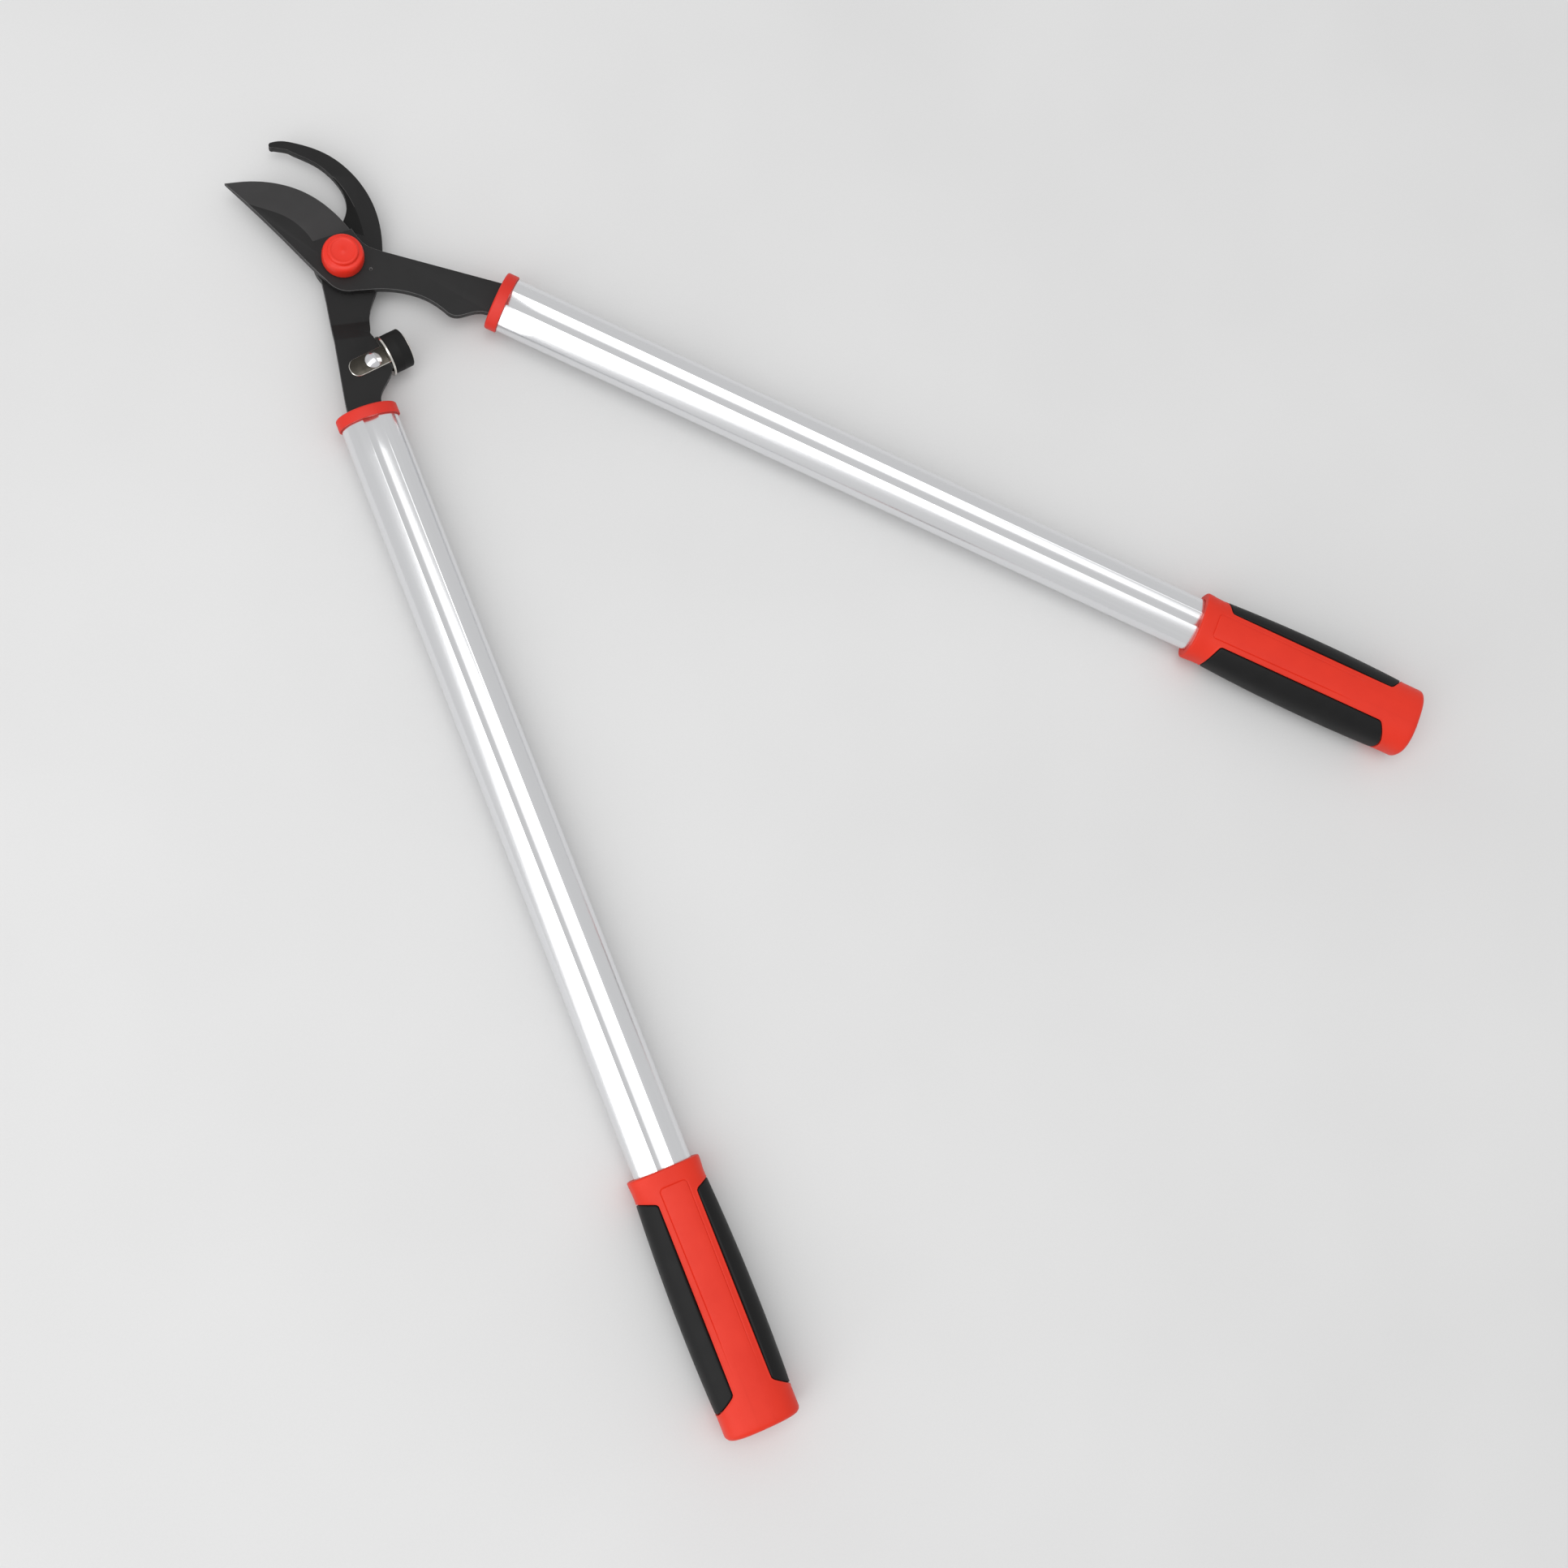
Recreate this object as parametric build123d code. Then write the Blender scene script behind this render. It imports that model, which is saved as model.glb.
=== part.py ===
from build123d import *
import math
import os

os.makedirs("parts", exist_ok=True)

# ---------------------------------------------------------------- frame
# Millimetres, +Z up. The origin is on the pivot axis, in the outer face of
# the bolt head, which the tool rests on. +Y runs out between the two cutting
# tips and the handles run towards -Y. The hook's handle leans to -X and the
# blade's handle leans to +X.
# Each arm is drawn in its own arm frame, with its tube parallel to Y, and is
# then turned about the pivot by ARM_ANGLE.

# ---------------------------------------------------------------- sizes
ARM_ANGLE = 22.7            # each arm from the middle line, in degrees
HOOK_OFFSET = 18.9          # tube axis to pivot axis, square to the tube
BLADE_OFFSET = 16.7
HOOK_REACH = 2.2            # the hook's handle starts this much further out

HEX_H = 5.0                 # bolt head, the hexagon
HEX_AF = 13.0               # bolt head and nut, across flats
BOLT_FLANGE_T = 1.4
BOLT_FLANGE_D = 20.0
BOLT_D = 8.0
BOLT_CLEAR = 0.05           # bolt shank to each bore round it, on the radius
WASHER_T = 2.0              # lower washer
WASHER_D = 24.0
HOOK_T = 5.0                # counter blade plate
BLADE_T = 4.4               # cutting blade plate
RUN_GAP = 0.1               # between the sliding faces of blade, hook and washer
BUSH_D = 14.0
BUSH_CLEAR = 0.05           # bush to blade bore, on the radius
TOP_WASHER_T = 1.2
TOP_WASHER_D = 20.0
LOCK_RING_T = 1.0
LOCK_RING_D = 12.8
NUT_H = 6.5
BOLT_END = 0.5              # bolt past the nut

CAP_BASE_D = 23.0
CAP_SHOULDER_D = 18.8       # top of the skirt, where the button leaves it
CAP_TOP_D = 16.6
CAP_SKIRT_H = 8.4
CAP_H = 10.8
CAP_DISH = 0.25
CAP_LIFT = 0.2              # cap above the blade

TUBE_W = 32.0
TUBE_H = 22.0
TUBE_WALL = 1.6
CHANNEL_W = 9.0             # shallow channel along the top and bottom
CHANNEL_DEEP = 1.1
TUBE_START = 86.6           # measured along the blade's arm from the pivot
TUBE_LONG = 551.4
TUBE_END = TUBE_START + TUBE_LONG

FERRULE_NOSE = 3.0          # ferrule in front of the tube
FERRULE_LAP = 3.6           # ferrule over the tube
FERRULE_START = TUBE_START - FERRULE_NOSE
FERRULE_END = TUBE_START + FERRULE_LAP
FERRULE_GROW = 1.2          # ferrule proud of the tube
FIT = 0.05                  # push fits inside one arm

SHANK_W = 19.3              # plate where it enters the ferrule
TANG_W = 18.0
TANG_STEP = TUBE_START + 2.0
TANG_END = TANG_STEP + 76.4
INSERT_END = TANG_END + 7.0
PIN_D = 4.0
PIN_PLACES = (TANG_END - 53.0, TANG_END - 15.0)

GRIP_LONG = 141.0
GRIP_PAST = 21.8            # grip past the tube's end
GRIP_END = TUBE_END + GRIP_PAST
GRIP_START = GRIP_END - GRIP_LONG
GRIP_FULL = GRIP_END - 19.8 # from here back the grip is full size
GRIP_WALL = 3.4             # collar wall beside the tube
GRIP_W0 = TUBE_W + 2 * GRIP_WALL       # grip width at the collar
GRIP_W1 = GRIP_W0 + 2.4                # grip width at the end
GRIP_H0 = TUBE_H + 2 * GRIP_WALL - 0.4 # grip height at the collar
FLARE = 0.6                 # collar's front edge proud of the grip
FLARE_LONG = 10.0
GRIP_ROUND = 3.0            # rounding of the end
GRIP_POWER = 2.5            # squareness of the oval section
PAD_IN = 11.1               # inner edge of each soft pad, from the grip's middle
PAD_START = GRIP_START + 12.1
PAD_END = GRIP_END - 14.9
PAD_SLANT = 4.0             # slant of a pad's front end across its width
PAD_BACK_SLANT = 7.0        # slant of its back end
PAD_DEEP = 2.2
PAD_PROUD = 1.5             # crown of a pad at its middle
PAD_SUNK = 0.3              # pad below the grip at its ends
PAD_GROOVE = 0.4

BUMPER_ANGLE = 9.0          # bumper axis from the arm's X direction
BUMPER_AT = (2.0, -59.2)    # back of the bumper flange, in the hook's arm frame
FLANGE_D = 22.8
FLANGE_T = 1.2
TONGUE_W = 10.4
TONGUE_LONG = 21.2
TONGUE_T = 1.2
RIVET_BACK = 7.2            # rivet behind the flange
RIVET_D = 4.2
RIVET_HEAD_D = 9.0
RIVET_HEAD_H = 2.0
RUBBER_D = 21.6
RUBBER_LONG = 11.2
STRIKE_D = 17.0
STRIKE_T = 1.6
STRIKE_PROUD = 1.0
STUD_D = 4.8
STUD_HEAD_D = 8.4
STUD_HEAD_T = 0.7

JOGGLE_START = 35.8         # where the hook plate starts to rise
JOGGLE_END = 46.0
JOGGLE_ANGLE = -10.0        # bend lines against the arm's X direction

# ---------------------------------------------------------------- heights
Z_WASHER = HEX_H + BOLT_FLANGE_T
Z_HOOK = Z_WASHER + WASHER_T
Z_BUSH = Z_HOOK + HOOK_T
Z_BLADE = Z_BUSH + RUN_GAP
Z_BLADE_TOP = Z_BLADE + BLADE_T
Z_TOP_WASHER = Z_BLADE_TOP + RUN_GAP
Z_RING = Z_TOP_WASHER + TOP_WASHER_T
Z_NUT = Z_RING + LOCK_RING_T
Z_BOLT_END = Z_NUT + NUT_H + BOLT_END
Z_ARM = Z_BLADE + BLADE_T / 2          # middle plane of both tubes
Z_SHANK = Z_ARM - HOOK_T / 2           # hook plate behind the joggle
GRIP_H1 = 2 * Z_ARM                    # the grips just reach the resting plane


# ---------------------------------------------------------------- helpers
def hook_arm(shape):
    """Turn a piece from the hook's arm frame into the tool's frame."""
    return Rot(0, 0, -ARM_ANGLE) * shape


def blade_arm(shape):
    """Turn a piece from the blade's arm frame into the tool's frame."""
    return Rot(0, 0, ARM_ANGLE) * shape


def disc(radius, z0, z1, bore=0.0):
    """A round plate about the pivot axis."""
    plate = Pos(0, 0, z0) * extrude(Circle(radius), amount=z1 - z0)
    if bore:
        plate -= Pos(0, 0, z0 - 1) * extrude(Circle(bore), amount=z1 - z0 + 2)
    return plate


def hexagon(across_flats, z0, z1):
    """A hexagon about the pivot axis, its outer corners turned off."""
    body = Pos(0, 0, z0) * extrude(
        RegularPolygon(across_flats / 2, 6, major_radius=False), amount=z1 - z0)
    corner = across_flats / 2 / math.cos(math.pi / 6)
    turned = chamfer(disc(corner, z0, z1).edges(), 0.9, 0.5)
    return body & turned


def plate(outline, z0, z1):
    """A flat plate from a closed outline in the XY plane."""
    return Pos(0, 0, z0) * extrude(make_face(outline), amount=z1 - z0)


def ruled_cutter(near, far, lift):
    """Everything above the ruled surface between two curves."""
    surface = Face.make_surface_from_curves(near, far)
    return Solid.extrude(surface, Vector(0, 0, lift))


def beyond(near, far, more):
    """The curve through far points pushed on past near points by a share."""
    return [
        tuple(n + (f - n) * (1 + more) for n, f in zip(near_point, far_point))
        for near_point, far_point in zip(near, far)
    ]


# ---------------------------------------------------------------- hook plate
def hook_outline():
    """Outline of the counter blade, hooked end, boss, shank and tang."""
    start, tang = tang_outline(-HOOK_OFFSET, HOOK_REACH)
    right, left = start
    seat = BUMPER_SEAT
    return [
        ThreePointArc((-13.0, 74.0), (-14.7, 75.5), (-12.9, 77.0)),
        Spline((-12.9, 77.0), (-1.0, 73.2), (12.4, 63.1), (22.8, 47.1), (27.4, 26.0),
               (22.6, -0.5), (11.0, -21.9), (2.2, -35.2), (-0.5, -43.5), seat[0],
               tangents=((1, 0.04), (0.3, -1))),
        Line(seat[0], seat[1]),
        Spline(seat[1], (-3.4, -75.0), right, tangents=((-0.5, -1), (0, -1))),
        *tang,
        Spline(left, (-24.3, -61.6), (-17.1, -22.4), (-14.7, -6.6),
               tangents=((0.12, 1), (0.12, 1))),
        ThreePointArc((-14.7, -6.6), (-13.8, 8.4), (-2.8, 15.8)),
        Spline((-2.8, 15.8), (5.6, 20.2), (12.4, 28.2), (14.4, 36.5), (10.8, 50.9),
               (4.0, 60.9), (-4.5, 68.9), (-13.0, 74.0), tangents=((1, 0.18), (-1, 0.45))),
    ]


def tang_outline(middle, reach):
    """Straight part of a plate from the ferrule to the end of its tang."""
    front = -FERRULE_START - reach
    step = -TANG_STEP - reach
    end = -TANG_END - reach
    wide = SHANK_W / 2
    slim = TANG_W / 2
    corners = [
        (middle + wide, front), (middle + wide, step), (middle + slim, step),
        (middle + slim, end), (middle - slim, end), (middle - slim, step),
        (middle - wide, step), (middle - wide, front),
    ]
    lines = [Line(a, b) for a, b in zip(corners, corners[1:])]
    return (corners[0], corners[-1]), lines


bumper_dir = Vector(math.cos(math.radians(BUMPER_ANGLE)),
                    math.sin(math.radians(BUMPER_ANGLE)), 0)
bumper_across = Vector(-bumper_dir.Y, bumper_dir.X, 0)
BUMPER_SEAT = [
    tuple(Vector(*BUMPER_AT, 0) + bumper_across * side)[:2] for side in (8.6, -8.2)
]


def joggle_band():
    """The side view of the hook plate, as a band wide enough for the outline."""
    side = [
        (-120, Z_HOOK), (JOGGLE_START, Z_HOOK), (JOGGLE_END, Z_SHANK), (220, Z_SHANK),
        (220, Z_SHANK + HOOK_T), (JOGGLE_END, Z_SHANK + HOOK_T),
        (JOGGLE_START, Z_HOOK + HOOK_T), (-120, Z_HOOK + HOOK_T),
    ]
    outline = FilletPolyline(*[(-s, z) for s, z in side], radius=2.0, close=True)
    band = extrude(Plane.YZ * make_face(outline), amount=120, both=True)
    return Rot(0, 0, JOGGLE_ANGLE) * band


# The inner edge of the hook is ground down in a band that widens to the root.
HOOK_BAND = [(12.4, 48.2), (15.7, 38.3), (17.3, 24.5), (16.1, 10.6)]
HOOK_EDGE = [(11.6, 48.0), (14.2, 37.5), (11.8, 27.2), (4.5, 19.2)]
HOOK_BAND_DEEP = 1.8


def make_counter_blade():
    """The hooked lower blade with its joggled shank and tang."""
    flat = plate(hook_outline(), 0, 40)
    solid = flat & joggle_band()
    top = Z_HOOK + HOOK_T
    near = [(x, y, top) for x, y in HOOK_BAND]
    far = [(x, y, top - HOOK_BAND_DEEP) for x, y in HOOK_EDGE]
    far = beyond(near, far, 0.25)
    solid -= ruled_cutter(Edge.make_spline([Vector(*p) for p in near]),
                          Edge.make_spline([Vector(*p) for p in far]), 8)
    solid -= disc(BOLT_D / 2 + BOLT_CLEAR, 0, 40)
    solid -= bumper_frame(Cylinder(RIVET_D / 2 + FIT, 20), -RIVET_BACK)
    for place in PIN_PLACES:
        solid -= Pos(-HOOK_OFFSET, -place - HOOK_REACH, Z_ARM) * Cylinder(PIN_D / 2 + FIT, 30)
    return solid


# ---------------------------------------------------------------- blade
# Ground face of the blade: from the ridge on the plate down to the edge.
BLADE_RIDGE = [(10.6, 76.5), (5.9, 55.0), (8.0, 37.0), (5.6, 26.0), (1.5, 18.3)]
BLADE_EDGE = [(12.2, 78.0), (25.0, 50.5), (27.2, 34.0), (25.0, 19.5), (17.9, 3.0)]
BLADE_LAND = 0.5            # thickness left at the cutting edge
PUNCH_AT = (1.2, -15.9)     # small punch mark beside the cap


def blade_outline():
    """Outline of the cutting blade, boss, shank with stop lobe, and tang."""
    start, tang = tang_outline(BLADE_OFFSET, 0)
    right, left = start
    return [
        Spline((11.2, 74.4), (17.9, 65.9), (24.7, 51.5), (27.3, 36.0), (25.0, 19.5),
               (18.2, 3.6)),
        Line((18.2, 3.6), (16.9, 1.6)),
        Spline((16.9, 1.6), (13.1, -6.4), (13.5, -17.0),
               tangents=((-0.6, -1), (0.193, -1))),
        Line((13.5, -17.0), right),
        *tang,
        Spline(left, (3.0, -74.7), (-2.2, -68.6), tangents=((-0.05, 1), (-0.6, 1))),
        ThreePointArc((-2.2, -68.6), (-3.1, -65.0), (-2.4, -61.6)),
        Spline((-2.4, -61.6), (-0.5, -48.0), (-5.7, -27.6), (-13.9, -13.6),
               tangents=((0.3, 1), (-0.6, 1))),
        ThreePointArc((-13.9, -13.6), (-17.3, -5.4), (-15.8, 2.0)),
        Spline((-15.8, 2.0), (-4.9, 30.2), (6.4, 60.6), (11.2, 74.4),
               tangents=((0.34, 1), (0.36, 1))),
    ]


def make_cutting_blade():
    """The bypass blade, ground on its upper face only."""
    solid = plate(blade_outline(), Z_BLADE, Z_BLADE_TOP)
    low = Z_BLADE + BLADE_LAND
    near = [(x, y, Z_BLADE_TOP) for x, y in BLADE_RIDGE]
    far = beyond(near, [(x, y, low) for x, y in BLADE_EDGE], 0.1)
    solid -= ruled_cutter(Edge.make_spline([Vector(*p) for p in near]),
                          Edge.make_spline([Vector(*p) for p in far]), 8)
    solid -= disc(BUSH_D / 2 + BUSH_CLEAR, 0, 40)
    solid -= Pos(*PUNCH_AT, Z_BLADE_TOP) * Cylinder(0.8, 0.8)
    for place in PIN_PLACES:
        solid -= Pos(BLADE_OFFSET, -place, Z_ARM) * Cylinder(PIN_D / 2 + FIT, 30)
    return solid


# ---------------------------------------------------------------- bumper
def bumper_frame(shape, along, lift=0.0):
    """Move a piece onto the bumper axis, a distance past the flange's back."""
    at = Vector(*BUMPER_AT, 0) + bumper_dir * along
    return Pos(at.X, at.Y, Z_ARM + lift) * Rot(0, 0, BUMPER_ANGLE) * shape


def bumper_disc(radius, x0, x1, bore=0.0):
    """A round piece about the bumper axis from x0 to x1 past the flange's back."""
    ring = Plane.YZ * Circle(radius)
    if bore:
        ring = Plane.YZ * (Circle(radius) - Circle(bore))
    return Pos(x0, 0, 0) * extrude(ring, amount=x1 - x0)


def make_bumper_bracket():
    """Round flange with two tongues that grip the shank between them."""
    reach = HOOK_T / 2
    bracket = bumper_disc(FLANGE_D / 2, 0, FLANGE_T)
    bracket = fillet(bracket.edges().sort_by(Axis.X)[-1], 0.4)
    tongue = Pos(-TONGUE_LONG / 2 + FLANGE_T / 2, 0) * Rectangle(
        TONGUE_LONG + FLANGE_T, TONGUE_W)
    corners = tongue.vertices().group_by(Axis.X)[0]
    tongue = fillet(corners, TONGUE_W / 2 - 0.4)
    for side in (0, 1):
        strip = extrude(tongue, amount=TONGUE_T)
        strip = chamfer(strip.faces().sort_by(Axis.Z)[-1].edges(), 0.3)
        bracket += Rot(180 * side, 0, 0) * Pos(0, 0, reach) * strip
    bracket -= bumper_disc(STUD_D / 2 + FIT, -5, 5)
    bracket -= Pos(-RIVET_BACK, 0, 0) * Cylinder(RIVET_D / 2 + FIT, 20)
    # the shank passes between the tongues
    bracket -= Pos(-30, 0, 0) * Box(60, 60, HOOK_T)
    return bumper_frame(bracket, 0)


def make_bumper_rivet():
    """Domed rivet through both tongues and the shank."""
    reach = HOOK_T / 2 + TONGUE_T
    rise = RIVET_HEAD_H
    ball = (RIVET_HEAD_D ** 2 / 4 + rise ** 2) / (2 * rise)
    rivet = Cylinder(RIVET_D / 2, 2 * reach)
    for side in (1, -1):
        dome = Pos(0, 0, side * (reach + rise - ball)) * Sphere(ball)
        keep = Pos(0, 0, side * (reach + rise)) * Box(20, 20, 2 * rise)
        rivet += dome & keep
    return bumper_frame(rivet, -RIVET_BACK)


def make_bumper_rubber():
    """Soft block between the flange and the strike disc."""
    end = FLANGE_T + RUBBER_LONG
    rubber = bumper_disc(RUBBER_D / 2, FLANGE_T, end)
    rubber = fillet(rubber.edges(), 0.8)
    rubber -= bumper_disc(STUD_D / 2 + FIT, 0, 30)
    rubber -= bumper_disc(STRIKE_D / 2 + FIT, end - STRIKE_T + STRIKE_PROUD, 30)
    return bumper_frame(rubber, 0)


STRIKE_BACK = FLANGE_T + RUBBER_LONG - STRIKE_T + STRIKE_PROUD
STRIKE_FACE = STRIKE_BACK + STRIKE_T


def make_bumper_disc():
    """Metal strike disc, recessed in the middle for the stud's head."""
    face = bumper_disc(STRIKE_D / 2, STRIKE_BACK, STRIKE_FACE)
    face = fillet(face.edges().sort_by(Axis.X)[-1], 0.5)
    face -= bumper_disc(STUD_D / 2 + FIT, 0, 30)
    face -= bumper_disc(STUD_HEAD_D / 2 + 0.4, STRIKE_FACE - 0.9, 30)
    return bumper_frame(face, 0)


def make_bumper_stud():
    """Stud that holds disc, rubber and flange together."""
    seat = STRIKE_FACE - 0.9
    stud = bumper_disc(STUD_D / 2, 0, seat)
    head = bumper_disc(STUD_HEAD_D / 2, seat, seat + STUD_HEAD_T)
    stud += fillet(head.edges().sort_by(Axis.X)[-1], 0.3)
    return bumper_frame(stud, 0)


# ---------------------------------------------------------------- pivot
def make_pivot_bolt():
    """Flanged hexagon bolt, its head down."""
    bolt = hexagon(HEX_AF, 0, HEX_H)
    bolt += chamfer(disc(BOLT_FLANGE_D / 2, HEX_H, Z_WASHER).edges().sort_by(Axis.Z)[0], 0.5)
    shank = disc(BOLT_D / 2, HEX_H, Z_BOLT_END)
    bolt += chamfer(shank.edges().sort_by(Axis.Z)[-1], 0.4)
    return bolt


def make_lock_ring():
    """Split spring ring under the nut."""
    bore = BOLT_D / 2 + BOLT_CLEAR
    ring = disc(LOCK_RING_D / 2, Z_RING, Z_NUT, bore)
    slit = Pos(LOCK_RING_D / 2, 0, Z_RING) * Rot(0, 0, 30) * Box(8, 0.8, 6)
    return ring - slit


def make_pivot_cap():
    """Moulded cap over the nut: a round skirt and a smaller button."""
    z0 = Z_BLADE_TOP + CAP_LIFT
    z1 = z0 + CAP_SKIRT_H
    z2 = z0 + CAP_H
    base = CAP_BASE_D / 2
    neck = CAP_SHOULDER_D / 2
    top = CAP_TOP_D / 2
    dish = z2 - CAP_DISH
    side = [
        Line((0, z0), (base - 0.5, z0)),
        ThreePointArc((base - 0.5, z0), (base - 0.15, z0 + 0.15), (base, z0 + 0.5)),
        Line((base, z0 + 0.5), (base, z0 + 2.2)),
        Spline((base, z0 + 2.2), (base - 0.5, z1 - 2.6), (neck + 0.3, z1 - 0.3),
               tangents=((0, 1), (-1, 0.9))),
        ThreePointArc((neck + 0.3, z1 - 0.3), (neck, z1), (neck - 0.4, z1 + 0.05)),
        Line((neck - 0.4, z1 + 0.05), (top + 0.2, z1 + 0.25)),
        Line((top + 0.2, z1 + 0.25), (top, z2 - 1.0)),
        ThreePointArc((top, z2 - 1.0), (top - 0.3, z2 - 0.3), (top - 1.0, z2)),
        Line((top - 1.0, z2), (top - 1.7, z2)),
        Line((top - 1.7, z2), (top - 2.0, dish)),
        Line((top - 2.0, dish), (0, dish)),
        Line((0, dish), (0, z0)),
    ]
    cap = revolve(Plane.XZ * make_face(side), Axis.Z)
    cap -= disc(TOP_WASHER_D / 2 + 0.1, 0, Z_RING)
    corner = HEX_AF / 2 / math.cos(math.pi / 6)
    cap -= disc(corner + FIT, 0, Z_NUT + NUT_H)
    cap -= disc(BOLT_D / 2 + 0.2, 0, Z_BOLT_END)
    return cap


# ---------------------------------------------------------------- handle
# Handle pieces are drawn about a tube that runs along -Y below the origin,
# at the height of Z = 0, and are then moved to their arm.
def tube_section(grow):
    """The tube's oval with its two channels, grown or shrunk all round."""
    a = TUBE_W / 2 + grow
    b = TUBE_H / 2 + grow
    half = CHANNEL_W / 2
    crease = TUBE_H / 2 * math.sqrt(1 - (half / (TUBE_W / 2)) ** 2)
    radius = (half ** 2 + CHANNEL_DEEP ** 2) / (2 * CHANNEL_DEEP)
    centre = crease - CHANNEL_DEEP + radius
    section = Ellipse(a, b)
    for side in (1, -1):
        section -= Pos(0, side * centre) * Circle(radius - grow)
    return section


def run(section, start, end):
    """A section carried along the arm between two distances from the pivot."""
    return extrude(Plane.XZ.offset(start) * section, amount=end - start)


def grip_wire(distance, width, height):
    """A closed square-cornered oval across the grip."""
    points = []
    steps = 24
    for index in range(steps):
        turn = 2 * math.pi * (index + 0.5) / steps
        c = math.cos(turn)
        s = math.sin(turn)
        x = width / 2 * math.copysign(abs(c) ** (2 / GRIP_POWER), c)
        z = height / 2 * math.copysign(abs(s) ** (2 / GRIP_POWER), s)
        points.append(Vector(x, -distance, z))
    return Wire([Edge.make_spline(points, periodic=True)])


def grip_body(grow, start, end):
    """The grip's outer form, grown or shrunk all round."""
    share = (GRIP_FULL - start) / (GRIP_FULL - GRIP_START)
    width = GRIP_W1 + (GRIP_W0 - GRIP_W1) * share
    height = GRIP_H1 + (GRIP_H0 - GRIP_H1) * share
    full = (GRIP_W1 + 2 * grow, GRIP_H1 + 2 * grow)
    taper = Solid.make_loft([
        grip_wire(start, width + 2 * grow, height + 2 * grow),
        grip_wire(GRIP_FULL, *full),
    ], ruled=True)
    tail = Solid.make_loft([grip_wire(GRIP_FULL, *full), grip_wire(end, *full)], ruled=True)
    return taper, tail


def pad_window(grow):
    """Upright prism over one soft pad, on the +X side of the grip."""
    inner = PAD_IN - grow
    front = -PAD_START + grow
    back = -PAD_END - grow
    outline = Polyline(
        (inner, front - PAD_SLANT), (30, front + PAD_SLANT * 0.9),
        (30, back - PAD_BACK_SLANT), (inner, back + PAD_BACK_SLANT),
        close=True)
    face = make_face(outline)
    face = fillet(face.vertices().group_by(Axis.X)[0], 1.4)
    return Pos(0, 0, -30) * extrude(face, amount=60)


def pad_core():
    """The grip shrunk to the floor of the pad pockets."""
    taper, tail = grip_body(-PAD_DEEP, PAD_START - 12, GRIP_END + 12)
    return taper + tail


def pad_crown():
    """The pads' outer form, crowned along their length."""
    middle = (PAD_START + PAD_END) / 2
    places = ((PAD_START - 8, -PAD_SUNK), (middle, PAD_PROUD), (GRIP_END, -PAD_SUNK))
    wires = []
    for distance, grow in places:
        share = max(0.0, (GRIP_FULL - distance) / (GRIP_FULL - GRIP_START))
        width = GRIP_W1 + (GRIP_W0 - GRIP_W1) * share + 2 * grow
        height = GRIP_H1 + (GRIP_H0 - GRIP_H1) * share + 2 * grow
        wires.append(grip_wire(distance, width, height))
    return Solid.make_loft(wires)


def make_grip_pad(side):
    """One soft pad, wrapped round the +X or the -X side of the grip."""
    window = pad_window(0)
    if side < 0:
        window = Rot(0, 180, 0) * window
    return (pad_crown() & window) - pad_core()


def make_grip_shell():
    """The hard grip, bored for the tube, with a flared collar and two pad pockets."""
    taper, tail = grip_body(0, GRIP_START, GRIP_END)
    tail = fillet(tail.faces().sort_by(Axis.Y)[0].edges(), GRIP_ROUND)
    flare = Solid.make_loft([
        grip_wire(GRIP_START, GRIP_W0 + 2 * FLARE, GRIP_H0 + 2 * FLARE),
        grip_wire(GRIP_START + FLARE_LONG, GRIP_W0, GRIP_H0),
    ], ruled=True)
    flare = fillet(flare.faces().sort_by(Axis.Y)[-1].edges(), 1.0)
    shell = taper + tail + flare - run(tube_section(FIT), 0, TUBE_END + 0.5)
    core = pad_core()
    for way in (0, 180):
        shell -= Rot(0, way, 0) * pad_window(PAD_GROOVE) - core
    return shell


def make_ferrule(plate_t):
    """Moulded end collar with a slot for the plate."""
    outer = Ellipse(TUBE_W / 2 + FERRULE_GROW, TUBE_H / 2 + FERRULE_GROW)
    ferrule = run(outer, FERRULE_START, FERRULE_END)
    ferrule = fillet(ferrule.edges().sort_by(Axis.Y)[-1], 1.2)
    ferrule -= run(tube_section(FIT), TUBE_START, FERRULE_END + 1)
    slot = Rectangle(SHANK_W + 2 * FIT, plate_t + 2 * FIT)
    return ferrule - run(slot, FERRULE_START - 1, TUBE_START + 1)


def make_tang_insert(plate_t):
    """Moulded core that holds the tang inside the tube."""
    core = run(tube_section(-TUBE_WALL - FIT), TANG_STEP, INSERT_END)
    core -= run(Rectangle(TANG_W + 2 * FIT, plate_t + 2 * FIT), 0, TANG_END)
    for place in PIN_PLACES:
        core -= Pos(0, -place, 0) * Cylinder(PIN_D / 2 + FIT, 30)
    return core


def make_tang_pins():
    """Two cross pins through the core and the tang."""
    half = TUBE_H / 2 - TUBE_WALL - CHANNEL_DEEP - 1.0
    pins = []
    for place in PIN_PLACES:
        pin = Cylinder(PIN_D / 2, 2 * half)
        pins.append(Pos(0, -place, 0) * chamfer(pin.edges(), 0.3))
    return pins


def make_tube():
    """Drawn oval tube with a shallow channel above and below."""
    section = tube_section(0) - tube_section(-TUBE_WALL)
    return run(section, TUBE_START, TUBE_END)


# ---------------------------------------------------------------- output
def keep(name, shape):
    """Write one node."""
    export_step(shape, f"parts/{name}.step")


def on_arm(shape, side):
    """Move a handle piece to its arm: side -1 is the hook's, +1 the blade's."""
    at = Pos(BLADE_OFFSET, 0, Z_ARM)
    if side < 0:
        at = Pos(-HOOK_OFFSET, -HOOK_REACH, Z_ARM)
    return Rot(0, 0, side * ARM_ANGLE) * at * shape


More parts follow.
